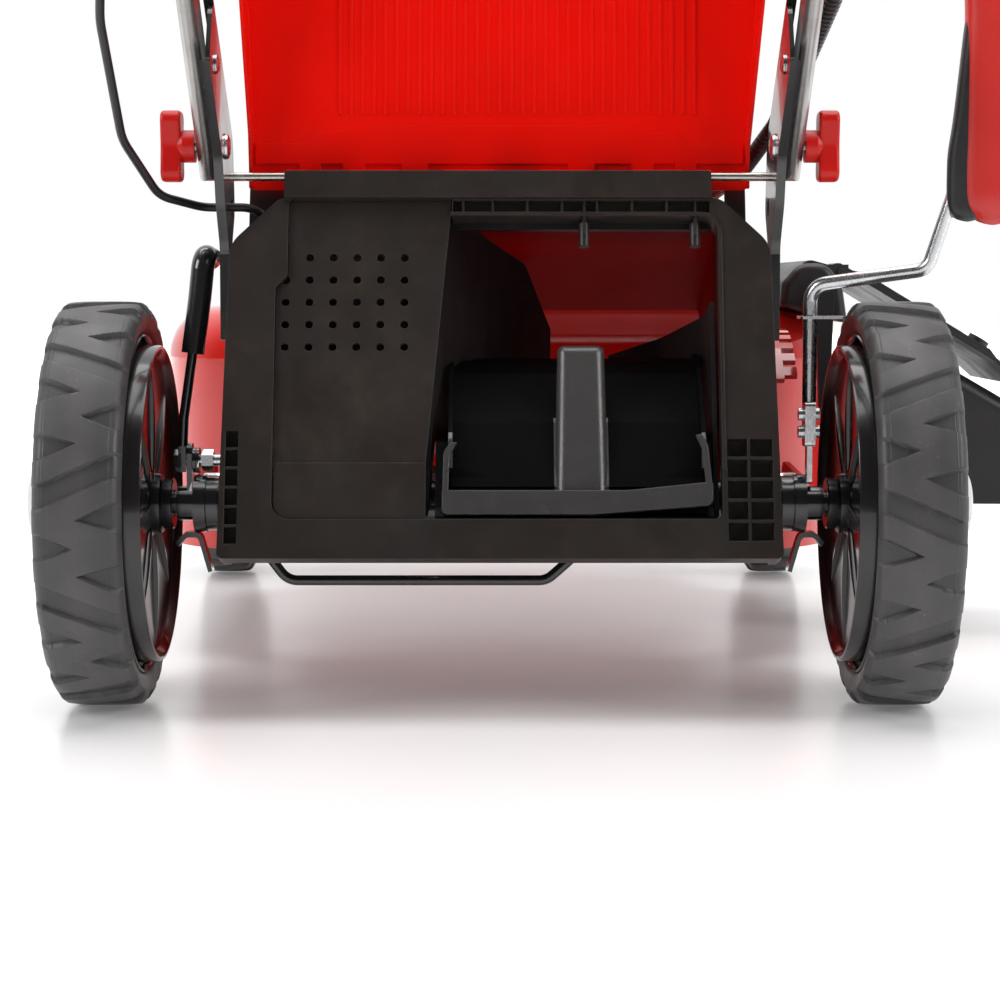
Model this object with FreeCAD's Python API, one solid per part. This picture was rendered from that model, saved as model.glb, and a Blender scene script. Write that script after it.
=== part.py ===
"""Petrol walk-behind lawn mower, modelled as its separate pieces.

Millimetres. +X is the mower's right, +Y its front, +Z up. The origin is on the ground, in the middle
plane, below the rear axle.
"""

import FreeCAD
import Part
import math
import os
from FreeCAD import Vector as V

# Driving dimensions
REAR_WHEEL_RADIUS = 140.0
REAR_WHEEL_WIDTH = 58.0
REAR_WHEEL_X = 272.5
FRONT_WHEEL_RADIUS = 100.0
FRONT_WHEEL_WIDTH = 48.0
FRONT_WHEEL_X = 275.0
WHEELBASE = 800.0
CAP_BULGE = 25.0
AXLE_RADIUS = 8.0
RUNNING_GAP = 0.05

DECK_WALL = 3.0
DECK_HALF_WIDTH = 266.0
DECK_BOTTOM = 88.0
DECK_TOP = 275.0
ENGINE_SEAT = 280.0
BLADE_Y = 427.0
BLADE_RADIUS = 250.0
BLADE_Z = 112.0

FRAME_LEAN = 17.0
FRAME_BASE_Y = -80.0
FRAME_BASE_Z = 110.0
FRAME_HALF_WIDTH = 187.0
FRAME_THICKNESS = 16.0
HINGE_Y = 10.0
HINGE_Z = 366.0
HINGE_RADIUS = 3.0

PIVOT_Y = 75.0
PIVOT_ABOVE_AXLE = 10.0
PIVOT_RADIUS = 6.0

CABLE_HOLE_Y = 13.0
CABLE_HOLE_Z = 345.0
GEARBOX_X = -104.0
BELT_Z = 205.0

HANDLE_ANGLE = 138.0
HANDLE_PIVOT = V(0, -22, 385)
HANDLE_X = 201.0
LOWER_TUBE_LENGTH = 430.0
UPPER_PIVOT_AT = 400.0
UPPER_HANDLE_X = 179.0
UPPER_TUBE_RADIUS = 11.0
UPPER_TUBE_LENGTH = 560.0

SIDE_HINGE_X = 275.0
SIDE_HINGE_Z = 302.0
SIDE_SLOPE = 31.0


def box(x0, x1, y0, y1, z0, z1):
    return Part.makeBox(x1 - x0, y1 - y0, z1 - z0, V(x0, y0, z0))


def rod(radius, start, end):
    axis = end - start
    return Part.makeCylinder(radius, axis.Length, start, axis)


def ring(outer, inner, start, end):
    return rod(outer, start, end).cut(rod(inner, start, end))


def fuse(shapes):
    shapes = list(shapes)
    whole = shapes[0]
    if len(shapes) > 1:
        whole = whole.multiFuse(shapes[1:])
    return whole.removeSplitter()


def mirrored(shape):
    return shape.mirror(V(0, 0, 0), V(1, 0, 0))


def both_sides(shape):
    return Part.makeCompound([shape, mirrored(shape)])


def corner(before, point, after, radius):
    """The start, middle and end of the arc that rounds one corner."""
    to_before = (before - point).normalize()
    to_after = (after - point).normalize()
    half = to_before.getAngle(to_after) / 2
    cut = radius / math.tan(half)
    centre = point + (to_before + to_after).normalize() * (radius / math.sin(half))
    middle = centre + (point - centre).normalize() * radius
    return point + to_before * cut, middle, point + to_after * cut


def rounded_wire(points, radius, closed=False):
    """Straight runs joined by tangent arcs; radius is one value, or one for each point."""
    count = len(points)
    radii = list(radius) if isinstance(radius, (list, tuple)) else [radius] * count
    stations = []
    for i, point in enumerate(points):
        if radii[i] <= 0 or (not closed and i in (0, count - 1)):
            stations.append((point, None, point))
        else:
            stations.append(corner(points[i - 1], point, points[(i + 1) % count], radii[i]))
    edges = []
    for i, (start, middle, end) in enumerate(stations):
        if middle is not None:
            edges.append(Part.Arc(start, middle, end).toShape())
        if i + 1 < count or closed:
            following = stations[(i + 1) % count][0]
            if (following - end).Length > 1e-4:
                edges.append(Part.LineSegment(end, following).toShape())
    return Part.Wire(edges)


def swept(points, radius, bend):
    """A round bar along straight runs and tangent arcs."""
    path = rounded_wire(points, bend)
    circle = Part.Circle(points[0], points[1] - points[0], radius).toShape()
    return path.makePipeShell([Part.Wire(circle)], True, False)


def slab(points, radius, extent):
    """A closed outline with rounded corners, extruded by a vector."""
    return Part.Face(rounded_wire(points, radius, closed=True)).extrude(extent)


def slab_yz(points, radius, x0, x1):
    return slab([V(x0, y, z) for y, z in points], radius, V(x1 - x0, 0, 0))


def slab_xz(points, radius, y0, y1):
    return slab([V(x, y0, z) for x, z in points], radius, V(0, y1 - y0, 0))


def slab_xy(points, radius, z0, z1):
    return slab([V(x, y, z0) for x, y in points], radius, V(0, 0, z1 - z0))


def rectangle(a0, a1, b0, b1):
    return [(a0, b0), (a1, b0), (a1, b1), (a0, b1)]


def lathe_x(profile, centre):
    """Profile of (radius, x), turned about an axis along X through centre."""
    points = [V(x, r, 0) for r, x in profile]
    face = Part.Face(Part.makePolygon(points + [points[0]]))
    return face.revolve(V(0, 0, 0), V(1, 0, 0), 360).translate(centre)


def lathe_z(profile, centre):
    """Profile of (radius, z), turned about an axis along Z through centre."""
    points = [V(r, 0, z) for r, z in profile]
    face = Part.Face(Part.makePolygon(points + [points[0]]))
    return face.revolve(V(0, 0, 0), V(0, 0, 1), 360).translate(centre)


def turned_about_x(shape, degrees, centre):
    copy = shape.copy()
    copy.rotate(centre, V(1, 0, 0), degrees)
    return copy


def soften(shape, radius, choose):
    return shape.makeFillet(radius, [edge for edge in shape.Edges if choose(edge)])


def edges_at_z(z):
    return lambda edge: abs(edge.BoundBox.ZMin - z) < 0.01 and abs(edge.BoundBox.ZMax - z) < 0.01


def hex_prism(across_flats, start, end):
    axis = end - start
    spoke = axis.cross(V(0.3, 0.5, 0.8)).normalize() * (across_flats / math.sqrt(3))
    turn = FreeCAD.Rotation(axis, 60)
    corners = []
    for _ in range(6):
        corners.append(start + spoke)
        spoke = turn.multVec(spoke)
    return Part.Face(Part.makePolygon(corners + [corners[0]])).extrude(axis)


def save(name, *shapes):
    """Writes one node; several shapes are its separate solids."""
    solids = [solid for shape in shapes for solid in shape.Solids]
    whole = solids[0] if len(solids) == 1 else Part.makeCompound(solids)
    whole.exportStep("parts/" + name + ".step")
    print(name, len(solids), "valid" if whole.isValid() else "NOT VALID", round(whole.Volume / 1000, 1))


# Wheels


def wheel(radius, width, rim_radius, hub_length_in):
    """Tyre, rim and hub cap of one wheel about the origin, with its outer side towards +X."""
    half = width / 2
    tread_half = half - 6
    tyre = lathe_x(
        [(rim_radius, -half + 4), (rim_radius + 8, -half + 1), (radius - 7, -half), (radius, -tread_half),
         (radius, tread_half), (radius - 7, half), (rim_radius + 8, half - 1), (rim_radius, half - 4)],
        V(0, 0, 0),
    )
    inner_face = -half - 1
    barrel = lathe_x(
        [(rim_radius - 7, inner_face + 4), (rim_radius, -half + 4), (rim_radius, half - 4),
         (rim_radius - 7, half - 8), (rim_radius - 9, half - 8), (rim_radius - 9, inner_face - 4),
         (rim_radius - 5, inner_face - 6), (rim_radius - 4, inner_face - 4)],
        V(0, 0, 0),
    )
    inner_disc = lathe_x(
        [(18, inner_face + 4), (rim_radius - 8, inner_face + 4), (rim_radius - 8, inner_face + 7),
         (18, inner_face + 7)],
        V(0, 0, 0),
    )
    outer_disc = lathe_x(
        [(18, half - 16), (rim_radius * 0.55, half - 10), (rim_radius - 8, half - 22),
         (rim_radius - 8, half - 25), (rim_radius * 0.55, half - 13), (18, half - 19)],
        V(0, 0, 0),
    )
    hub = rod(20, V(-half - hub_length_in, 0, 0), V(half - 12, 0, 0))
    ribs = []
    spoke_count = 8
    for i in range(spoke_count):
        rib = slab_xy([(-0.9, 17), (0.9, 17), (1.6, rim_radius - 8), (-1.6, rim_radius - 8)], 0, 0, 5)
        rib.rotate(V(0, 0, 0), V(0, 1, 0), -90)
        rib.translate(V(inner_face + 4.5, 0, 0))
        rib.rotate(V(0, 0, 0), V(1, 0, 0), 360 / spoke_count * i)
        ribs.append(rib)
    rim = fuse([barrel, inner_disc, outer_disc, hub] + ribs)
    rim = rim.cut(rod(AXLE_RADIUS + RUNNING_GAP, V(-100, 0, 0), V(half - 16, 0, 0)))
    cap_radius = rim_radius * 0.42
    cap = lathe_x(
        [(0, half - 11.8), (cap_radius, half - 11.8), (cap_radius, half - 2), (cap_radius * 0.88, half + 5),
         (cap_radius * 0.68, half + 0.50 * CAP_BULGE), (cap_radius * 0.42, half + 0.93 * CAP_BULGE),
         (cap_radius * 0.34, half + CAP_BULGE), (0, half + CAP_BULGE)],
        V(0, 0, 0),
    )
    clearance = lathe_x(
        [(0, half - 30), (cap_radius + 20, half - 30), (cap_radius + 20, half - 11.9), (0, half - 11.9)],
        V(0, 0, 0),
    )
    rim = rim.cut(cap)
    cap = cap.cut(clearance)
    return {"tyre": [tyre], "rim": [rim, cap]}


def save_wheels():
    places = [
        ("rear", REAR_WHEEL_RADIUS, REAR_WHEEL_WIDTH, 117.0, 17.0, REAR_WHEEL_X, 0.0),
        ("front", FRONT_WHEEL_RADIUS, FRONT_WHEEL_WIDTH, 80.0, 15.0, FRONT_WHEEL_X, WHEELBASE),
    ]
    for end, radius, width, rim_radius, hub_in, x, y in places:
        pieces = wheel(radius, width, rim_radius, hub_in)
        for side, sign in (("right", 1), ("left", -1)):
            for piece, shapes in pieces.items():
                placed = [shape.copy() if sign > 0 else mirrored(shape) for shape in shapes]
                for shape in placed:
                    shape.translate(V(sign * x, y, radius))
                save(end + "_" + piece + "_" + side, *placed)


# Rear axle and its height lever


def gearbox_case():
    """The case round the rear axle that the drive belt turns, on the left behind the vent panel."""
    z = REAR_WHEEL_RADIUS
    case = fuse([
        soften(box(GEARBOX_X - 34, GEARBOX_X + 34, -26, 44, z - 26, z + 26), 8, lambda edge: True),
        rod(24, V(GEARBOX_X - 44, 0, z), V(GEARBOX_X + 44, 0, z)),
        rod(15, V(GEARBOX_X, 24, z), V(GEARBOX_X, 24, z + 34)),
    ])
    case = case.cut(rod(16.0, V(GEARBOX_X - 60, 0, z), V(GEARBOX_X + 60, 0, z)))
    return case.cut(rod(5.06, V(GEARBOX_X, 24, z + 20), V(GEARBOX_X, 24, z + 40)))


def drive_train():
    """The gearbox pulley on its shaft and the belt from the crankshaft's pulley."""
    z = REAR_WHEEL_RADIUS
    shaft = rod(5, V(GEARBOX_X, 24, z + 21), V(GEARBOX_X, 24, BELT_Z + 9))
    pulley = lathe_z([(4.9, -8), (36, -8), (36, -5), (28, 0), (36, 5), (36, 8), (4.9, 8)],
                     V(GEARBOX_X, 24, BELT_Z))
    save("gearbox_pulley", fuse([pulley, shaft]))
    a = V(0, BLADE_Y, BELT_Z)
    b = V(GEARBOX_X, 24, BELT_Z)
    outer = belt_outline(a, 31.6, b, 37.0)
    inner = belt_outline(a, 26.9, b, 32.4)
    save("drive_belt", outer.cut(inner))


def belt_outline(a, radius_a, b, radius_b):
    """The flat solid inside an open belt round two circles, 5 mm thick."""
    span = b - a
    tilt = math.asin((radius_a - radius_b) / span.Length)
    ahead = math.atan2(span.y, span.x)
    discs = [Part.makeCylinder(radius_a, 5, a - V(0, 0, 2.5)),
             Part.makeCylinder(radius_b, 5, b - V(0, 0, 2.5))]
    corners = []
    for centre, radius, side in ((a, radius_a, 1), (b, radius_b, 1), (b, radius_b, -1), (a, radius_a, -1)):
        angle = ahead + side * (math.pi / 2 - tilt)
        corners.append(centre + V(radius * math.cos(angle), radius * math.sin(angle), -2.5))
    web = Part.Face(Part.makePolygon(corners + [corners[0]])).extrude(V(0, 0, 5))
    return fuse(discs + [web])


def rear_carriage():
    height = REAR_WHEEL_RADIUS
    end_x = REAR_WHEEL_X + REAR_WHEEL_WIDTH / 2 - 17
    axle = fuse([
        rod(16, V(-198, 0, height), V(198, 0, height)),
        rod(12, V(-224, 0, height), V(224, 0, height)),
        rod(19, V(-203, 0, height), V(-195, 0, height)),
        rod(19, V(195, 0, height), V(203, 0, height)),
        rod(AXLE_RADIUS, V(-end_x, 0, height), V(end_x, 0, height)),
    ])
    save("rear_axle", axle, gearbox_case())

    arm_x = 206.0
    pivot = V(arm_x, PIVOT_Y, height + PIVOT_ABOVE_AXLE)
    arm = fuse([
        slab_yz([(-13, height - 15), (PIVOT_Y + 13, height - 4), (PIVOT_Y + 13, height + 24),
                 (-13, height + 20)], [10, 12, 12, 10], arm_x, arm_x + 4),
        ring(20, 12.0, V(arm_x - 2.5, 0, height), V(arm_x + 6, 0, height)),
    ])
    arm = arm.cut(rod(12.0, V(arm_x - 5, 0, height), V(arm_x + 10, 0, height)))
    arm = arm.cut(rod(PIVOT_RADIUS + RUNNING_GAP, pivot - V(5, 0, 0), pivot + V(10, 0, 0)))
    hook_outline = [V(223.4, -6, height - 30), V(218, -6, height - 23.5), V(210, -6, height - 23.5),
                    V(203, -6, height - 48), V(200, -6, height - 47), V(208, -6, height - 19.6),
                    V(219, -6, height - 19.6), V(225.6, -6, height - 27)]
    hook = slab(hook_outline, [0, 4, 3, 0, 0, 6, 7, 0], V(0, 12, 0))
    save("axle_brackets", both_sides(arm), both_sides(hook))

    strap = slab_yz([(-8, height - 10), (8, height - 10), (8, height + 42), (-8, height + 42)], [7, 7, 7, 7],
                    -217, -213.5)
    strap = strap.cut(rod(12.0, V(-220, 0, height), V(-210, 0, height)))
    lever = fuse([
        slab_yz(rectangle(-5, 5, height + 22, height + 40), 0, -223.2, -218.0),
        swept([V(-220.8, 0, height + 34), V(-219.5, 0, height + 60), V(-212, 1, height + 112),
               V(-208, 3, height + 142), V(-206, 4, height + 160)], 3.4, [0, 30, 60, 30, 0]),
    ])
    grip_path = [V(-213, 1, height + 104), V(-208, 3, height + 142), V(-205, 5, height + 172),
                 V(-203, 27, height + 170)]
    sleeve = swept(grip_path, 8.0, [0, 60, 10, 0])
    bolt_z = height + 30
    bolt = fuse([
        rod(4, V(-224, 0, bolt_z), V(-193, 0, bolt_z)),
        hex_prism(13, V(-226, 0, bolt_z), V(-221, 0, bolt_z)),
        ring(9, 4, V(-213, 0, bolt_z), V(-211, 0, bolt_z)),
        ring(9, 4, V(-210.6, 0, bolt_z), V(-208.6, 0, bolt_z)),
        hex_prism(13, V(-207, 0, bolt_z), V(-199, 0, bolt_z)),
    ])
    strap = strap.cut(bolt)
    lever = lever.cut(bolt)
    save("left_lever", lever, sleeve.cut(lever), strap, bolt)


def height_lever():
    height = REAR_WHEEL_RADIUS
    lever = fuse([
        swept([V(214, -4, height + 70), V(214, -4, height + 151), V(291, -26, height + 162),
               V(306, -34, height + 212), V(314, -38, height + 268)], 4.8, [0, 13, 12, 30, 0]),
        slab_yz(rectangle(-13, 5, height + 40, height + 71), 3, 210.4, 217.6),
        slab_yz(rectangle(-9, 3, height + 14, height + 44), 3, 212.4, 216.0),
        rod(4.5, V(206.6, -4, height + 50), V(221, -4, height + 50)),
        rod(4.5, V(206.6, -4, height + 62), V(221, -4, height + 62)),
        slab_xy(rectangle(206.4, 238, -16, 10), 3, height + 128, height + 130),
    ])
    clear = rod(12.3, V(190, 0, height), V(240, 0, height))
    save("height_lever_rod", lever.cut(clear))

    base = V(0, -36, 0)
    core = slab([V(x, base.y - 9, z) for x, z in
                 [(301, height + 196), (318, height + 192), (341, height + 214), (347, height + 340),
                  (333, height + 372), (312, height + 366), (303, height + 300)]],
                [6, 14, 18, 18, 12, 12, 30], V(0, 18, 0))
    core = soften(core, 3.0, lambda edge: True)
    shell_outline = [(305, height + 200), (320, height + 188), (347, height + 208), (354, height + 340),
                     (338, height + 378), (313, height + 372), (309, height + 300)]
    shell = slab([V(x, base.y - 14, z) for x, z in shell_outline], [5, 14, 20, 20, 14, 12, 30], V(0, 28, 0))
    shell = soften(shell, 6.0, lambda edge: edge.BoundBox.YLength < 0.01)
    rod_space = lever.common(shell.fuse(core))
    core = core.cut(lever)
    save("height_lever_grip", core, shell.cut(core).cut(rod_space))


# Front axle and its height lever


def front_carriage():
    height = FRONT_WHEEL_RADIUS
    end_x = FRONT_WHEEL_X + FRONT_WHEEL_WIDTH / 2 - 17
    axle = fuse([
        rod(AXLE_RADIUS, V(-end_x, WHEELBASE, height), V(end_x, WHEELBASE, height)),
        ring(12, AXLE_RADIUS - 1, V(220, WHEELBASE, height), V(229, WHEELBASE, height)),
        ring(12, AXLE_RADIUS - 1, V(-229, WHEELBASE, height), V(-220, WHEELBASE, height)),
    ])
    arm_x = 215.0
    pivot = V(arm_x, WHEELBASE + PIVOT_Y, height + PIVOT_ABOVE_AXLE)
    plate = slab_yz([(WHEELBASE - 14, height - 13), (pivot.y + 13, height - 3), (pivot.y + 13, height + 23),
                     (WHEELBASE - 14, height + 14)], [12, 12, 12, 12], arm_x, arm_x + 4)
    plate = plate.cut(rod(AXLE_RADIUS, V(200, WHEELBASE, height), V(240, WHEELBASE, height)))
    plate = plate.cut(rod(PIVOT_RADIUS + RUNNING_GAP, pivot - V(10, 0, 0), pivot + V(10, 0, 0)))
    save("front_axle", axle, both_sides(plate))
    lever = fuse([
        swept([V(-224, WHEELBASE + 30, height + 6), V(-224, WHEELBASE + 24, height + 80),
               V(-262, WHEELBASE + 18, height + 140)], 4.0, [0, 14, 0]),
        rod(6, V(-219.2, WHEELBASE + 30, height + 6), V(-228, WHEELBASE + 30, height + 6)),
    ])
    knob = lathe_z([(0, 0), (9, 2), (13, 12), (12, 26), (6, 32), (0, 33)], V(0, 0, 0))
    knob.rotate(V(0, 0, 0), V(0, 1, 0), -30)
    knob.translate(V(-257, WHEELBASE + 18, height + 130))
    save("front_lever", lever.cut(knob), knob)


# Deck


def deck_core(inset, floor_z):
    """The deck's outline solid, or the space inside it when inset is the wall's thickness."""
    w = DECK_HALF_WIDTH - inset
    top = DECK_TOP - inset
    body = slab_xy(rectangle(-w, w, 165 + inset, 690 - inset), 118 - inset, floor_z, top)
    body = soften(body, 40 - inset, edges_at_z(top))
    nose = slab_xy(rectangle(-206 + inset, 206 - inset, 560, 890 - inset), [0.5, 0.5, 70 - inset, 70 - inset],
                   floor_z + (7 if inset <= 0 else 0), 196 - inset)
    nose = soften(nose, 26 - inset, edges_at_z(196 - inset))
    neck = slab_xy(rectangle(-184 + inset, 184 - inset, 56 + inset, 260), 12 - inset, floor_z, 250 - inset)
    neck = soften(neck, 20 - inset, edges_at_z(250 - inset))
    pad = lathe_z([(0, 200), (165 - inset, 200), (165 - inset, DECK_TOP - inset),
                   (145 - inset, ENGINE_SEAT - inset), (0, ENGINE_SEAT - inset)], V(0, BLADE_Y, 0))
    rear = 24 if inset <= 0 else -6
    tunnel_side = [(rear, 190), (rear, 335 - inset), (60, 332 - inset), (250, 262 - inset), (250, 190)]
    tunnel = slab_yz(tunnel_side, 0, -52 + inset, 156 - inset)
    return fuse([body, nose, neck, pad, tunnel])


def deck():
    outer = deck_core(0, DECK_BOTTOM)
    inner = deck_core(DECK_WALL, DECK_BOTTOM - 20)
    shell = outer.cut(inner)
    crank_hole = rod(16, V(0, BLADE_Y, 250), V(0, BLADE_Y, 300))
    rear_mouth = box(-49, 153, 30, 64, 152, 240)
    gearbox_mouth = box(-150, -55.5, 40, 64, 100, 238)
    side_mouth = box(250, 280, 330, 500, 108, 214)
    front_axle_slot = slab_yz([(WHEELBASE - 12, 70), (WHEELBASE + 12, 70), (WHEELBASE + 14, 150),
                               (WHEELBASE - 12, 150)], 0, -230, 230)
    rear_skirt = slab_yz([(0, 60), (150, 60), (150, 87), (128, 90), (30, 101), (0, 101)], 0, -300, 300)
    shell = shell.cut(Part.makeCompound([crank_hole, rear_mouth, gearbox_mouth, side_mouth, front_axle_slot,
                                         rear_skirt]))
    save("deck", max(shell.Solids, key=lambda s: s.Volume))


def pivot_pins():
    """Headed pins that the axle arms turn on, rear and front."""
    pins = []
    for y, z, start, end in (
        (PIVOT_Y, REAR_WHEEL_RADIUS + PIVOT_ABOVE_AXLE, 184.3, 214),
        (WHEELBASE + PIVOT_Y, FRONT_WHEEL_RADIUS + PIVOT_ABOVE_AXLE, 185.0, 223),
    ):
        pins.append(fuse([rod(PIVOT_RADIUS, V(start, y, z), V(end, y, z)),
                          rod(10, V(end - 3.4, y, z), V(end, y, z))]))
    outside_nose = pins[1].cut(box(0, 206.2, 800, 900, 50, 150))
    z = FRONT_WHEEL_RADIUS + PIVOT_ABOVE_AXLE
    pins[1] = outside_nose.fuse(rod(PIVOT_RADIUS + 4, V(205.9, WHEELBASE + PIVOT_Y, z),
                                    V(208.5, WHEELBASE + PIVOT_Y, z)))
    return [both_sides(pin.Solids[0]) for pin in pins]


def height_rack():
    """A curved plate round the rear pivot, with teeth for the lever."""
    centre = V(0, PIVOT_Y, REAR_WHEEL_RADIUS + PIVOT_ABOVE_AXLE)
    inner, outer = 106.0, 110.0

    def sector(x0, x1, r0, r1, from_deg, to_deg):
        tube = ring(r1, r0, centre + V(x0, 0, 0), centre + V(x1, 0, 0))
        wedge = [V(x0 - 1, centre.y, centre.z)]
        for angle in (from_deg, (from_deg + to_deg) / 2, to_deg):
            wedge.append(V(x0 - 1, centre.y - 300 * math.cos(math.radians(angle)),
                           centre.z + 300 * math.sin(math.radians(angle))))
        return tube.common(Part.Face(Part.makePolygon(wedge + [wedge[0]])).extrude(V(x1 - x0 + 2, 0, 0)))

    pieces = [sector(188, 197, inner, outer, 44, 112), box(184.3, 192, 84, 104, 216, 256.5)]
    for i in range(8):
        start = 46 + i * 8.0
        pieces.append(sector(196, 206, inner, outer, start, start + 4.4))
    save("height_rack", fuse(pieces))


# Discharge frame, vent panel, duct and plug


def lean(shape):
    """Turns a piece drawn upright on the frame's base line to the frame's own lean."""
    return turned_about_x(shape, -FRAME_LEAN, V(0, FRAME_BASE_Y, FRAME_BASE_Z))


def frame_slab(points, radius, front, back):
    """An outline of (x, height along the frame), from back to front, measured forward of the rear face."""
    shape = slab([V(x, FRAME_BASE_Y + front, FRAME_BASE_Z + v) for x, v in points], radius,
                 V(0, back - front, 0))
    return lean(shape)


OPENING_LEFT_TOP = -34.0
OPENING_LEFT_BOTTOM = -50.0
OPENING_RIGHT = 149.0
RECESS_LEFT = -153.0
RECESS_BOTTOM = 27.0
RECESS_TOP = 238.8
PANEL_TOP = 251.0
PANEL_TOP_RIGHT = -33.0
HEADER_TOP = 270.5


def discharge_frame():
    w = FRAME_HALF_WIDTH
    outline = [(-w - 2, 0), (w + 2, 0), (w - 2, 219), (w - 36, 252), (-w + 36, 252), (-w + 2, 219)]
    plate = frame_slab(outline, [4, 4, 22, 14, 14, 22], 0, FRAME_THICKNESS)
    opening = frame_slab([(RECESS_LEFT, RECESS_BOTTOM), (OPENING_RIGHT, RECESS_BOTTOM),
                          (OPENING_RIGHT, RECESS_TOP), (PANEL_TOP_RIGHT, RECESS_TOP),
                          (PANEL_TOP_RIGHT, PANEL_TOP), (RECESS_LEFT + 8, PANEL_TOP),
                          (RECESS_LEFT + 8, 196), (RECESS_LEFT, 188)],
                         [12, 6, 12, 0, 0, 3, 3, 3], -0.5, FRAME_THICKNESS + 1)
    plate = plate.cut(opening)
    rim_outside = frame_slab([(OPENING_LEFT_TOP, 60), (OPENING_RIGHT + 2.6, 60),
                              (OPENING_RIGHT + 2.6, RECESS_TOP + 2.6), (OPENING_LEFT_TOP, RECESS_TOP + 2.6)],
                             [0, 0, 14.6, 0], -1.6, 2)
    rim_inside = frame_slab([(OPENING_LEFT_TOP - 5, 50), (OPENING_RIGHT, 50), (OPENING_RIGHT, RECESS_TOP),
                             (OPENING_LEFT_TOP - 5, RECESS_TOP)], [0, 0, 12, 0], -3, 4)
    opening_rim = rim_outside.cut(rim_inside)
    header = fuse([frame_slab(rectangle(-148, 145, PANEL_TOP, HEADER_TOP), 2, -4, 0.0),
                   frame_slab(rectangle(-148, 145, PANEL_TOP, 256), 0, -4, 6)])
    backing = frame_slab([(-w + 4, 140), (-54, 140), (-54, 246), (-149, 246), (-149, 272.5), (-w + 11, 272.5),
                          (-w + 11, 238), (-w + 6, 220)], 0, 40, 43)
    backing = backing.cut(rod(6.0, V(-146, 60, 309), V(-176, 0, 352)))
    right_block = frame_slab([(158, 205), (w - 6, 205), (w - 6, 214), (w - 14.5, 214), (w - 14.5, 272.5),
                              (158, 272.5)], 0, 40, 43)
    side_wall = frame_slab([(w - 4, 4), (w + 1.6, 4), (w - 2.4, 215), (w - 8, 215)], 0, FRAME_THICKNESS, 44)
    cells = []
    for i in range(6):
        v = 10 + i * 13.2
        cells.append(frame_slab(rectangle(-w + 2.5, -w + 11, v, v + 11.5), 0, -1, 10))
        if i < 5:
            v = 12 + i * 14.4
            cells.append(frame_slab(rectangle(152.5, 166, v, v + 12.4), 0, -1, 10))
            cells.append(frame_slab(rectangle(168, 183, v, v + 12.4), 0, -1, 10))
    cell_walls = [PANEL_TOP_RIGHT, -25.3, -5.0, 18.7, 42.6, 57.8, 66.6, 90.5, 114.4, 133.9, 144.6]
    for x0, x1 in zip(cell_walls, cell_walls[1:]):
        cells.append(frame_slab(rectangle(x0 + 0.8, x1 - 0.8, RECESS_TOP + 2.6, 250.0), 0, -3, 8))
    plate = plate.cut(Part.makeCompound(cells))
    pegs = []
    for x in (57.8, 133.9):
        pegs.append(frame_slab(rectangle(x - 0.9, x + 0.9, 226, RECESS_TOP + 2), 0, 1, 12))
        pegs.append(lean(rod(3.7, V(x, FRAME_BASE_Y + 8, FRAME_BASE_Z + 219.5),
                             V(x, FRAME_BASE_Y + 8, FRAME_BASE_Z + 236))))
    frame = fuse([plate, opening_rim, header, side_wall, mirrored(side_wall), backing, right_block] + pegs)
    save("discharge_frame", frame, vent_panel())


def vent_panel():
    left = RECESS_LEFT + 0.3
    outline = [(left, RECESS_BOTTOM + 0.3), (OPENING_LEFT_BOTTOM, RECESS_BOTTOM + 0.3),
               (OPENING_LEFT_BOTTOM, 66), (OPENING_LEFT_TOP, RECESS_TOP),
               (OPENING_LEFT_TOP + 0.6, PANEL_TOP - 0.3), (left + 8, PANEL_TOP - 0.3),
               (left + 8, 195.6), (left, 187.8)]
    panel = frame_slab(outline, [11.7, 0, 0, 0, 0, 2.7, 3, 3], 3.5, 7)
    lower = frame_slab([(left + 0.5, RECESS_BOTTOM + 0.6), (OPENING_LEFT_BOTTOM, RECESS_BOTTOM + 0.6),
                        (OPENING_LEFT_BOTTOM, 66), (left + 0.5, 66)], [11.4, 0, 0, 0], 2.2, 3.6)
    holes = []
    for row in range(5):
        for column in range(6):
            if row == 0 and column == 0:
                continue
            x = -146.2 + column * 16.2
            v = 210 - row * 15.8
            holes.append(lean(rod(2.8, V(x, FRAME_BASE_Y - 2, FRAME_BASE_Z + v),
                                  V(x, FRAME_BASE_Y + 12, FRAME_BASE_Z + v))))
    panel = fuse([panel, lower]).cut(Part.makeCompound(holes))
    return panel


def duct_left_outline(offset):
    """Plan of the duct's curved left wall, from the frame forward to the deck."""
    return [(-50 - offset, -62), (-40 - offset, 0), (-10 - offset, 70), (38 - offset, 150)]


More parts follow.
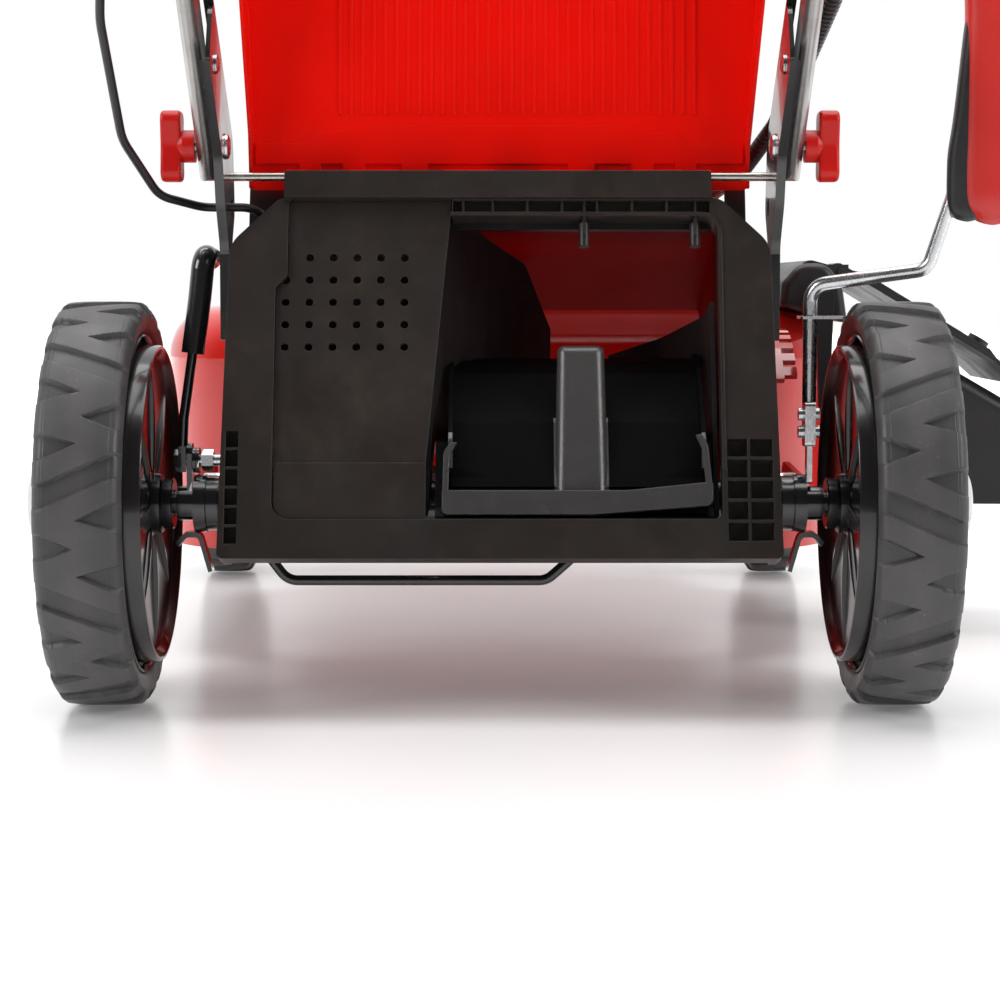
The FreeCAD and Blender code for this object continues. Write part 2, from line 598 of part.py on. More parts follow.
def discharge_duct():
    """The black walls between the frame's opening and the deck: left, right, floor and lintel."""
    frame_back = lean(box(-200, 200, FRAME_BASE_Y - 60, FRAME_BASE_Y + FRAME_THICKNESS + 0.2, 60, 420))
    floor_line = [(-62, 131.5), (-47, 141), (-27, 184.5), (26, 186.5), (70, 160)]
    under_floor = slab_yz(floor_line + [(70, 90), (-62, 90)], 0, -70, 170)
    floor = slab_yz(floor_line + [(70, 157), (25, 183.5), (-25.5, 181.5), (-44.5, 138.5), (-60, 128.5)],
                    0, -44, 147)
    above_roof = slab_yz([(-100, 331), (20, 331), (60, 328.5), (170, 286), (170, 420), (-100, 420)],
                         0, -70, 170)
    front_cut = slab_yz([(92, 345), (162, 240), (162, 140), (240, 140), (240, 345)], 0, -70, 170)
    wall = duct_left_outline(0) + list(reversed(duct_left_outline(3)))
    left = slab_xy(wall, [0, 30, 60, 0, 0, 60, 30, 0], 132, 338).cut(above_roof)
    right_plan = [(148, -60), (146, 30), (120, 96), (84, 152),
                  (81.5, 150), (117.5, 94), (143, 29), (145, -60)]
    right = slab_xy(right_plan, [0, 30, 60, 0, 0, 60, 30, 0], 132, 300)
    right = right.cut(slab_yz([(-60, 290), (-36, 286), (160, 236), (160, 330), (-60, 330)], 0, 60, 170))
    floor_trim = slab_xy(duct_left_outline(1.5) + [(38, 200), (-120, 200), (-120, -62)], 0, 100, 400)
    walls = [wall.cut(under_floor).cut(front_cut) for wall in (left, right)]
    lintel = box(-47, 152, 4, 22, 329.5, 346)
    duct = fuse(walls + [floor.cut(floor_trim), lintel]).cut(frame_back)
    save("discharge_duct", Part.makeCompound([s for s in duct.Solids if s.Volume > 500]))


def mulch_plug():
    left, right = -39.0, 143.0
    lip = frame_slab([(left, 30.5), (62, 30.5), (right, 37), (right, 53), (86, 47), (left, 47)],
                     [4, 80, 5, 2, 80, 2], 2, 11)
    left_end = frame_slab([(left, 38), (left + 4, 38), (left + 5, 72), (left + 10, 80), (left + 6, 80),
                           (left + 1, 74)], [0, 0, 8, 0, 0, 10], 2, 13)
    right_end = frame_slab([(right - 4, 44), (right, 44), (right - 3, 78), (right - 7, 86), (right - 11, 85),
                            (right - 7, 76)], [0, 0, 10, 0, 0, 8], 2, 13)
    web = frame_slab([(left + 3, 33), (right - 3, 33), (right - 3, 70), (92, 50), (20, 50), (left + 3, 66)],
                     [3, 3, 3, 8, 8, 3], 11, 14)
    post = frame_slab([(37, 42), (73, 42), (71, 150), (39, 150)], [0, 0, 5, 5], 6, 22)
    post = soften(post, 7.0, lambda edge: edge.BoundBox.ZLength > 60)
    ramp_profile = [(-56, 156), (-32, 198), (4, 230), (24, 238), (52, 239),
                    (52, 236), (25, 235), (6, 227.5), (-30, 195), (-53, 153)]
    ramp = slab_yz(ramp_profile, 0, left + 6, right - 6)
    cheek_profile = [(-57, 153), (-31, 196), (5, 228), (24, 236), (52, 237), (52, 243), (22, 242),
                     (0, 235), (-38, 201), (-52, 188)]
    cheeks = [slab_yz(cheek_profile, 3, x, x + 3) for x in (left + 4, right - 7)]
    right_limit = [(81, 150), (115.5, 94), (141, 29), (143, -60), (143, -80)]
    inside_duct = slab_xy(duct_left_outline(-3) + right_limit + [(-47, -80)], 0, 100, 400)
    front_part = fuse([ramp] + cheeks).common(inside_duct)
    save("mulch_plug", fuse([lip, left_end, right_end, web, post, front_part]))


def guard_rod():
    z = 89.0
    points = [V(-168, -26, 118), V(-146, -26, z), V(32, -26, z), V(58, -26, 112)]
    save("guard_rod", swept(points, 3.5, [0, 14, 14, 0]))


# Rear flap


def rear_flap():
    """Drawn standing up from the hinge, then leaned forward past upright, where it rests."""
    z = HINGE_Z
    y = HINGE_Y
    reach = 18.0
    outline = [(-175, z - 7), (174, z - 7), (174, z + 22), (182, z + 122), (184.5, z + 244), (168, z + 258),
               (-168, z + 258), (-183, z + 244), (-179, z + 122), (-175, z + 30)]
    sheet = slab([V(x, y + reach, zz) for x, zz in outline], [5, 5, 60, 90, 14, 20, 20, 14, 90, 60],
                 V(0, 2.8, 0))

    def cheek(points):
        """A side wall along the sheet's edge, deeper away from the hinge."""
        inner = [(x - math.copysign(2.6, x), zz) for x, zz in reversed(points)]
        wall = slab([V(x, y - 60, zz) for x, zz in points + inner], 0, V(0, 60 + reach + 1, 0))
        side = slab_yz([(y + reach + 2, z - 6), (y + 11, z - 6), (y + 11, z + 4), (y - 51, z + 238),
                        (y - 40, z + 250), (y + reach + 2, z + 250)], [0, 2, 10, 12, 8, 0], -220, 220)
        return wall.common(side)

    right_cheek = cheek([(174, z - 6), (174, z + 22), (182, z + 122), (184.5, z + 242)])
    left_cheek = cheek([(-175, z - 6), (-175, z + 30), (-179, z + 122), (-183, z + 242)])
    knuckles = []
    for x0, x1 in ((-147, -134), (-104, -70), (-38, -4), (28, 62), (92, 126), (134, 146)):
        eye = fuse([rod(HINGE_RADIUS + 1.7, V(x0, y, z), V(x1, y, z)),
                    box(x0, x1, y, y + reach + 1, z - 4, z + 4)])
        knuckles.append(eye.cut(rod(HINGE_RADIUS + 0.06, V(x0 - 1, y, z), V(x1 + 1, y, z))))
    step = slab([V(x, y + reach - 1.6, zz) for x, zz in
                 [(-171, z + 25.5), (-137, z + 25.5), (-127, z + 34), (-100, z + 34.5), (-92, z + 38),
                  (91, z + 38), (100, z + 33), (123, z + 32.5), (132, z + 24.5), (170, z + 24.5),
                  (170, z - 6), (-171, z - 6)]], 0, V(0, 2, 0))
    windows = [box(x0, x1, y + reach - 2, y + reach, z - 8, z + 11.3)
               for x0, x1 in ((-172, -140.4), (-125.4, -110), (-94.5, -68.8), (-50.3, 47.5), (66.3, 91.9),
                              (107.7, 122.2), (137.6, 171))]
    step = step.cut(Part.makeCompound(windows))
    ribs = [box(x - 0.9, x + 0.9, y + reach - 1.2, y + reach + 0.5, z + 46, z + 244)
            for x in range(-112, 137, 8)]
    flap = fuse([sheet, right_cheek, left_cheek, step] + knuckles + ribs)
    flap = turned_about_x(flap, -5, V(0, y, z))
    save("rear_flap", flap)


def hinge_rod():
    save("hinge_rod", rod(HINGE_RADIUS, V(-189, HINGE_Y, HINGE_Z), V(189, HINGE_Y, HINGE_Z)))


# Handle


def along_handle(distance, x=0.0, off=0.0):
    """A point on the handle's line, off is the distance square to it, towards the front and up."""
    angle = math.radians(HANDLE_ANGLE)
    along = V(0, math.cos(angle), math.sin(angle))
    across = V(0, math.sin(angle), -math.cos(angle))
    return HANDLE_PIVOT + along * distance + across * off + V(x, 0, 0)


def handle_brackets():
    """Two upright channels: a web against each lower tube, with a flange along its front and rear edge."""
    inner, outer, flange = 186.2, 189.2, 192.6
    front_top = along_handle(112, 0, 25)
    rear_top = along_handle(100, 0, -23)
    front_line = [(14, 254), (14, 320), (32, 342), (24, 392), (front_top.y, front_top.z)]
    rear_line = [(-8, 254), (-8, 318), (-30, 346), (-40, 374), (rear_top.y, rear_top.z)]
    web = slab_yz(front_line + rear_line[::-1], [4, 16, 16, 30, 12, 12, 20, 20, 16, 4], inner, outer)
    front_edge = slab_yz(front_line + [(y - 2.6, z - 1) for y, z in reversed(front_line)],
                         [0, 16, 16, 30, 0, 0, 30, 16, 16, 0], inner, flange)
    rear_edge = slab_yz(rear_line + [(y + 2.6, z - 1) for y, z in reversed(rear_line)],
                        [0, 16, 20, 20, 0, 0, 20, 20, 16, 0], inner, flange)
    bracket = fuse([web, front_edge, rear_edge])
    bolt = rod(4.0, HANDLE_PIVOT + V(180, 0, 0), HANDLE_PIVOT + V(230, 0, 0))
    second = along_handle(75)
    second_bolt = rod(3.0, second + V(180, 0, 0), second + V(230, 0, 0))
    hinge_end = rod(HINGE_RADIUS + 0.02, V(180, HINGE_Y, HINGE_Z), V(230, HINGE_Y, HINGE_Z))
    cable_hole = rod(6.0, V(180, CABLE_HOLE_Y, CABLE_HOLE_Z), V(200, CABLE_HOLE_Y, CABLE_HOLE_Z))
    bracket = bracket.cut(bolt).cut(second_bolt).cut(hinge_end).cut(cable_hole)
    save("handle_brackets", both_sides(bracket))
    carriage_bolt = fuse([
        rod(4.0, HANDLE_PIVOT + V(184, 0, 0), HANDLE_PIVOT + V(218, 0, 0)),
        lathe_x([(0, 182.6), (5, 182.9), (8.5, 184.4), (9, 186.1), (0, 186.1)], HANDLE_PIVOT),
    ])
    stud = fuse([
        rod(3.0, second + V(184.5, 0, 0), second + V(189.6, 0, 0)),
        lathe_x([(0, 183.4), (4, 183.6), (6.5, 185), (6.5, 186.1), (0, 186.1)], second),
    ])
    return [both_sides(carriage_bolt), both_sides(stud)]


def lower_handle_tube():
    """An oval tube, flattened on its inner side as far as the bracket's flanges reach when it folds."""
    start, end = -26.0, LOWER_TUBE_LENGTH
    flat_end = 142.0
    tube = Part.makeCylinder(1, end - start, V(0, 0, start))
    stretch = FreeCAD.Matrix()
    stretch.scale(8.0, 14.0, 1.0)
    oval = tube.transformGeometry(stretch)
    hollow_scale = FreeCAD.Matrix()
    hollow_scale.scale(6.6, 12.6, 1.0)
    hollow = Part.makeCylinder(1, end - flat_end - 4, V(0, 0, flat_end + 4)).transformGeometry(hollow_scale)
    oval = oval.cut(hollow)
    oval = oval.common(slab_yz([(-14, start), (14, start), (14, end), (-14, end)], [12, 12, 2, 2], -20, 20))
    flat = box(-20, -5.0, -20, 20, start - 1, flat_end)
    oval = oval.cut(flat)
    oval = oval.cut(rod(4.06, V(-20, 0, 0), V(20, 0, 0)))
    oval = oval.cut(rod(4.01, V(-20, 0, UPPER_PIVOT_AT), V(20, 0, UPPER_PIVOT_AT)))
    oval.rotate(V(0, 0, 0), V(1, 0, 0), HANDLE_ANGLE - 90)
    oval.translate(HANDLE_PIVOT + V(HANDLE_X - 3.0, 0, 0))
    return oval


def wing_knob(length):
    """A two-winged knob turned on +X, its foot at the origin, with a blind hole for its bolt."""
    hub = lathe_x([(0, 0), (11, 0), (11, 8), (9, 12), (9, length - 4), (0, length - 4)], V(0, 0, 0))
    wings = slab_yz([(-12, -24), (12, -24), (9, 0), (12, 24), (-12, 24), (-9, 0)],
                    [7, 7, 20, 7, 7, 20], 9, length)
    wings = soften(wings, 2.5, lambda edge: edge.BoundBox.XLength < 0.01)
    return fuse([hub, wings]).cut(rod(4.08, V(-5, 0, 0), V(12.5, 0, 0)))


def handles():
    tube = lower_handle_tube()
    pivot = along_handle(UPPER_PIVOT_AT)
    fold_bolt = fuse([
        rod(4.0, V(164, 0, 0), V(218, 0, 0)),
        lathe_x([(0, 162.5), (6, 163), (9, 166), (9, 167.6), (0, 167.6)], V(0, 0, 0)),
    ])
    fold_bolt.translate(pivot)
    save("lower_handle", both_sides(tube))
    save("fold_bolts", both_sides(fold_bolt))

    for side, sign in (("right", 1), ("left", -1)):
        for name, length, place in (("lower_knob_", 23, HANDLE_PIVOT), ("fold_knob_", 22, pivot)):
            knob = wing_knob(length).translate(V(206.6, 0, 0) + place)
            save(name + side, knob if sign > 0 else mirrored(knob))

    top = UPPER_PIVOT_AT + UPPER_TUBE_LENGTH
    x = UPPER_HANDLE_X
    bow = swept([along_handle(UPPER_PIVOT_AT - 28, x), along_handle(top, x), along_handle(top, -x),
                 along_handle(UPPER_PIVOT_AT - 28, -x)], UPPER_TUBE_RADIUS, [0, 55, 55, 0])
    for sign in (1, -1):
        bow = bow.cut(rod(4.06, V(sign * 160, pivot.y, pivot.z), V(sign * 200, pivot.y, pivot.z)))
    save("upper_handle", bow)
    sleeve = ring(15.5, UPPER_TUBE_RADIUS, along_handle(top, -112), along_handle(top, 112))
    save("handle_grip_sleeve", soften(sleeve, 3.0, lambda edge: abs(edge.Length - 2 * math.pi * 15.5) < 0.1))
    return top


def bail(name, at, reach, radius, half_width, off, spread):
    """A bent wire lever that stands off the handle's cross bar and turns about its two ends."""
    points = [along_handle(at, UPPER_HANDLE_X - UPPER_TUBE_RADIUS - 1.0, off),
              along_handle(at, half_width - 6, off),
              along_handle(at + reach * 0.6, half_width - 14, off + spread * 0.5),
              along_handle(at + reach, half_width - 40, off + spread)]
    left = [V(-p.x, p.y, p.z) for p in reversed(points)]
    save(name, swept(points + left, radius, [0, 6, 30, 24, 24, 30, 6, 0]))


def handle_controls(top):
    bail("brake_bail", top - 120, 118, 3.5, 158, 22, 46)
    bail("drive_bail", top - 150, 120, 3.5, 152, -24, -40)
    housings = []
    for at, off, length in ((top - 120, 22, 34), (top - 150, -24, 34)):
        centre = along_handle(at, UPPER_HANDLE_X, 0)
        block = box(-9, 9, -11, 11, -length / 2, length / 2)
        block.rotate(V(0, 0, 0), V(1, 0, 0), HANDLE_ANGLE - 90)
        block.translate(centre + (along_handle(0, 0, off) - along_handle(0, 0, 0)) * 0.92)
        block = block.cut(rod(UPPER_TUBE_RADIUS, along_handle(at - 60, UPPER_HANDLE_X),
                              along_handle(at + 60, UPPER_HANDLE_X)))
        pin = along_handle(at, 0, off)
        block = block.cut(rod(3.56, pin + V(100, 0, 0), pin + V(200, 0, 0)))
        housings.append(block)
    save("bail_mounts", Part.makeCompound([both_sides(b.Solids[0]) for b in housings]))


def cables(top):
    """Control cables; each is in two lengths, which meet where the handle folds."""
    left_points = [V(-152, 47, 222), V(-152, 47, 322), V(-170, CABLE_HOLE_Y, CABLE_HOLE_Z),
                   V(-206, CABLE_HOLE_Y - 2, CABLE_HOLE_Z), V(-233, -14, 352), V(-252, -52, 388),
                   V(-256, -112, 460), V(-238, -208, 566), V(-219, -306, 652)]
    save("drive_cable_lower", swept(left_points, 3.0, [0, 16, 16, 18, 30, 50, 80, 90, 0]))
    start = along_handle(UPPER_PIVOT_AT + 14, -207, 0)
    upper_points = [V(-219, start.y + 4, start.z - 6) + V(0, -12, 12), along_handle(470, -203, -16),
                    along_handle(600, -196, -14), along_handle(top - 176, -190, -20)]
    drive_upper = swept(upper_points, 3.0, [0, 40, 60, 0])
    right_points = [V(92, 356, 300), V(118, 290, 326), V(150, 180, 352), V(174, 64, 374), V(192, 28, 402),
                    along_handle(60, 206, 26), along_handle(120, 215, 14), along_handle(220, 218, 3),
                    along_handle(330, 218, 2), along_handle(376, 220, -6)]
    save("brake_cable_conduit", swept(right_points, 6.0, [0, 60, 120, 40, 30, 50, 90, 120, 120, 0]))
    right_upper = [V(219, start.y + 4, start.z - 6) + V(0, -12, 12), along_handle(470, 203, 14),
                   along_handle(600, 196, 16), along_handle(top - 146, 190, 20)]
    save("upper_cables", drive_upper, swept(right_upper, 3.0, [0, 40, 60, 0]))


def starter():
    """The pull grip, which rests against its ferrule on the recoil cover; its rope is wound up inside."""
    grip = soften(slab_yz([(-8, 0), (8, 0), (9, 20), (-9, 20)], [3, 3, 5, 5], -26, 26), 4,
                  lambda edge: edge.BoundBox.XLength < 0.01)
    handle = fuse([grip, rod(5.0, V(0, 0, -12), V(0, 0, 1))])
    handle.rotate(V(0, 0, 0), V(1, 0, 0), 55)
    handle.rotate(V(0, 0, 0), V(0, 0, 1), 20)
    handle.translate(V(58, BLADE_Y - 105, ENGINE_SEAT + 145))
    save("starter_handle", handle)


# Engine


def shroud_shell(base, inset):
    """The round blower housing and the hood that leads its air over the cylinder."""
    half = 112 - inset
    bowl = slab_xy(rectangle(-half, half, BLADE_Y - half + 4, BLADE_Y + half - 4), 96 - inset,
                   base - (5 if inset else 0), base + 62 - inset)
    bowl = soften(bowl, 14 - inset, edges_at_z(base + 62 - inset))
    hood_half = 64 - inset
    hood = slab_xy([(-hood_half, BLADE_Y + 60), (hood_half, BLADE_Y + 60),
                    (hood_half - 5, BLADE_Y + 200 - inset), (-hood_half + 5, BLADE_Y + 200 - inset)],
                   [2, 2, 18 - inset, 18 - inset],
                   base + 26 - (4 if inset else 0), base + 50 - inset)
    hood = soften(hood, 9 - inset, edges_at_z(base + 50 - inset))
    return [bowl, hood]


def engine(seat):
    c = V(0, BLADE_Y, 0)
    crankcase = fuse([
        lathe_z([(13.2, seat + 0.3), (98, seat + 0.3), (98, seat + 9), (86, seat + 14), (82, seat + 62),
                 (13.2, seat + 62)], c),
        slab_xy(rectangle(-62, 62, BLADE_Y + 30, BLADE_Y + 118), 10, seat + 12, seat + 66),
        rod(10, V(-55, BLADE_Y + 80, seat + 22), V(-86, BLADE_Y + 100, seat + 42)),
        rod(13, V(-86, BLADE_Y + 100, seat + 44), V(-86, BLADE_Y + 100, seat + 54)),
    ]).cut(rod(13.2, V(0, BLADE_Y, seat - 5), V(0, BLADE_Y, seat + 90)))
    dipstick_tube = rod(7, V(-86, BLADE_Y + 100, seat + 30), V(-86, BLADE_Y + 100, seat + 60))
    cap_space = rod(16.5, V(-86, BLADE_Y + 100, seat + 54), V(-86, BLADE_Y + 100, seat + 90))
    crankcase = crankcase.cut(dipstick_tube).cut(cap_space)
    save("crankcase", crankcase)

    fins = [slab_xz(rectangle(-56 + i % 2, 56 - i % 2, seat + 8, seat + 92), 9, BLADE_Y + 121 + i * 8,
                    BLADE_Y + 124.5 + i * 8) for i in range(7)]
    barrel = rod(36, V(0, BLADE_Y + 118.3, seat + 48), V(0, BLADE_Y + 176, seat + 48))
    head = fuse([
        slab_xz(rectangle(-54, 54, seat + 10, seat + 90), 12, BLADE_Y + 176.3, BLADE_Y + 196),
        soften(slab_xz(rectangle(-36, 36, seat + 18, seat + 80), 14, BLADE_Y + 196, BLADE_Y + 216), 4.0,
               lambda e: abs(e.BoundBox.YMin - (BLADE_Y + 216)) < 0.01),
    ])
    plug = fuse([hex_prism(20, V(40, BLADE_Y + 196.3, seat + 76), V(40, BLADE_Y + 206, seat + 76)),
                 rod(7.5, V(40, BLADE_Y + 206, seat + 76), V(40, BLADE_Y + 222, seat + 76)),
                 rod(11, V(40, BLADE_Y + 214, seat + 76), V(40, BLADE_Y + 238, seat + 76))])
    plug = plug.cut(head)
    save("cylinder", fuse(fins + [barrel]), head, plug)

    base = seat + 68
    outer = fuse(shroud_shell(base, 0))
    inner = fuse(shroud_shell(base, 3))
    top_hole = rod(76, V(0, BLADE_Y, base + 30), V(0, BLADE_Y, base + 80))
    shroud = outer.cut(inner).cut(top_hole)
    save("engine_shroud", max(shroud.Solids, key=lambda s: s.Volume))

    cover_base = base + 62.3
    cover = lathe_z([(92, 0), (92, 10), (86, 20), (60, 27), (24, 29), (0, 29), (0, 26), (24, 26), (59, 24),
                     (84, 18), (89, 9), (89, 0)], V(0, BLADE_Y, cover_base))
    slots = []
    slot_count = 18
    for i in range(slot_count):
        slot = slab_xy([(-3, 34), (3, 34), (5.5, 74), (-5.5, 74)], 2.4, cover_base + 10, cover_base + 40)
        slot.rotate(V(0, 0, 0), V(0, 0, 1), 360 / slot_count * i + 10)
        slot.translate(c)
        slots.append(slot)
    cover = cover.cut(Part.makeCompound(slots))
    save("recoil_cover", cover)

    tank = slab_xy([(-124, BLADE_Y - 186), (64, BLADE_Y - 186), (64, BLADE_Y - 113), (-40, BLADE_Y - 113),
                    (-124, BLADE_Y - 76)], [24, 24, 6, 40, 20], seat + 34, seat + 122)
    tank = soften(tank, 12, edges_at_z(seat + 122))
    tank = tank.cut(rod(112.5, V(0, BLADE_Y, seat), V(0, BLADE_Y, seat + 200)))
    neck_place = V(-82, BLADE_Y - 142, seat + 121)
    tank = max(tank.Solids, key=lambda s: s.Volume)
    tank = fuse([tank, rod(17, neck_place, neck_place + V(0, 0, 9))])
    save("fuel_tank", tank)
    cap = lathe_z([(0, 21), (20, 21), (25, 18), (26, 2), (18, 2), (18, 10), (0, 10)], neck_place)
    notches = [rod(2.5, neck_place + V(27 * math.cos(a), 27 * math.sin(a), 1), neck_place
                   + V(27 * math.cos(a), 27 * math.sin(a), 22)) for a in [math.pi / 6 * i for i in range(12)]]
    save("fuel_cap", cap.cut(Part.makeCompound(notches)))

    filter_box = slab_xy(rectangle(-196, -122, BLADE_Y - 40, BLADE_Y + 62), 16, seat + 22, seat + 104)
    filter_box = soften(filter_box, 7, edges_at_z(seat + 104))
    filter_space = slab_xy(rectangle(-190, -128, BLADE_Y - 34, BLADE_Y + 56), 10, seat + 44, seat + 98)
    save("air_filter_box", filter_box.cut(filter_space))
    pleats = [box(-184, -134, BLADE_Y - 28 + i * 7.6, BLADE_Y - 24 + i * 7.6, seat + 46, seat + 94)
              for i in range(11)]
    save("air_filter", fuse(pleats + [box(-186, -132, BLADE_Y - 30, BLADE_Y + 52, seat + 45, seat + 49)]))
    carburettor = fuse([
        box(-121.7, -97, BLADE_Y + 6, BLADE_Y + 48, seat + 24, seat + 62),
        rod(14, V(-104, BLADE_Y + 26, seat + 42), V(-80, BLADE_Y + 60, seat + 42)),
        rod(14, V(-107, BLADE_Y + 27, seat + 6), V(-107, BLADE_Y + 27, seat + 26)),
    ]).cut(crankcase)
    save("carburettor", max(carburettor.Solids, key=lambda s: s.Volume))

    muffler = soften(slab_xy(rectangle(70, 138, BLADE_Y + 106, BLADE_Y + 190), 14, seat + 14, seat + 76), 8,
                     lambda e: e.BoundBox.ZLength < 0.01)
    pipe = rod(11, V(56.3, BLADE_Y + 184, seat + 40), V(72, BLADE_Y + 170, seat + 40))
    muffler = fuse([muffler, pipe]).cut(head).cut(fuse(fins))
    muffler = muffler.cut(rod(6, V(120, BLADE_Y + 120, seat + 30), V(150, BLADE_Y + 120, seat + 30)))
    guard_outer = slab_xy(rectangle(66, 147, BLADE_Y + 98, BLADE_Y + 204), 16, seat + 8, seat + 90)
    guard_inner = slab_xy(rectangle(60, 144, BLADE_Y + 101, BLADE_Y + 201), 13, seat, seat + 87)
    guard = guard_outer.cut(guard_inner).cut(box(60, 75, BLADE_Y + 90, BLADE_Y + 210, seat, seat + 95))
    slits = [box(140, 150, BLADE_Y + 112 + i * 12, BLADE_Y + 118 + i * 12, seat + 22, seat + 78)
             for i in range(7)]
    guard = guard.cut(Part.makeCompound(slits))
    save("muffler", max(muffler.Solids, key=lambda s: s.Volume), max(guard.Solids, key=lambda s: s.Volume))

    dip = V(-86, BLADE_Y + 100, seat + 52)
    save("oil_cap", fuse([lathe_z([(0, 2.5), (16, 2.5), (16, 12), (13, 15), (0, 15)], dip),
                          rod(6.5, dip - V(0, 0, 16), dip + V(0, 0, 4)),
                          box(dip.x - 2.5, dip.x + 2.5, dip.y - 13, dip.y + 13, dip.z + 14, dip.z + 24)]))

    flywheel_base = base + 12
    blades_ring = []
    for i in range(16):
        fin = box(52, 84, -1.5, 1.5, 16, 34)
        fin.rotate(V(0, 0, 0), V(0, 0, 1), 22.5 * i)
        fin.translate(V(0, BLADE_Y, flywheel_base))
        blades_ring.append(fin)
    flywheel = fuse([lathe_z([(0, 0), (86, 0), (86, 16), (20, 20), (20, 36), (0, 36)],
                             V(0, BLADE_Y, flywheel_base))] + blades_ring)
    flywheel = flywheel.cut(rod(9, V(0, BLADE_Y, flywheel_base - 5), V(0, BLADE_Y, flywheel_base + 15)))
    crankshaft = fuse([
        rod(9, V(0, BLADE_Y, BLADE_Z + 20), V(0, BLADE_Y, flywheel_base + 15)),
        rod(13.1, V(0, BLADE_Y, seat + 1), V(0, BLADE_Y, seat + 60)),
    ])
    save("flywheel", flywheel, crankshaft)
    bolts = []
    for i in range(4):
        angle = math.radians(45 + 90 * i)
        x, y = 91 * math.cos(angle), BLADE_Y + 91 * math.sin(angle)
        bolts.append(hex_prism(13, V(x, y, seat + 9.2), V(x, y, seat + 16)))
    return [bolt.cut(crankcase) for bolt in bolts]


def blade_group():
    c = V(0, BLADE_Y, 0)
    z = BLADE_Z
    adapter = lathe_z([(9, z + 22), (9, z + 76), (26, z + 76), (26, z + 72), (15, z + 70), (15, z + 22),
                       (30, z + 16), (30, z + 4.2), (9, z + 4.2)], c)
    adapter = adapter.cut(rod(9, V(0, BLADE_Y, z), V(0, BLADE_Y, z + 100)))
    pulley = lathe_z([(9, z + 85), (31, z + 85), (31, z + 88), (22, z + 93), (31, z + 98), (31, z + 101),
                      (9, z + 101)], c)
    half = slab_xy([(-30, -24), (BLADE_RADIUS - 60, -26), (BLADE_RADIUS, -20), (BLADE_RADIUS, 18),
                    (BLADE_RADIUS - 8, 27), (BLADE_RADIUS - 70, 24), (-30, 24)], 0, 0, 4)
    wing = slab_yz([(27, 4), (14, 4), (22, 20), (27, 24)], 0, BLADE_RADIUS - 66, BLADE_RADIUS - 8)
    half = half.fuse(wing)
    other = half.copy()
    other.rotate(V(0, 0, 0), V(0, 0, 1), 180)
    blade = fuse([half, other])
    blade.translate(V(0, BLADE_Y, z))
    blade = blade.cut(rod(5, V(0, BLADE_Y, z - 5), V(0, BLADE_Y, z + 20)))
    save("blade", blade)
    bolt = fuse([hex_prism(16, V(0, BLADE_Y, z - 12), V(0, BLADE_Y, z - 3)),
                 rod(17, V(0, BLADE_Y, z - 3.2), V(0, BLADE_Y, z)),
                 rod(5, V(0, BLADE_Y, z - 3), V(0, BLADE_Y, z + 19.8))])
    save("blade_adapter", adapter, pulley, bolt)


# Side discharge


def down_slope(distance, off, y):
    """A point measured from the side hinge along the flap's slope, and square to it."""
    angle = math.radians(SIDE_SLOPE)
    return V(SIDE_HINGE_X + distance * math.cos(angle) + off * math.sin(angle), y,
             SIDE_HINGE_Z - distance * math.sin(angle) + off * math.cos(angle))


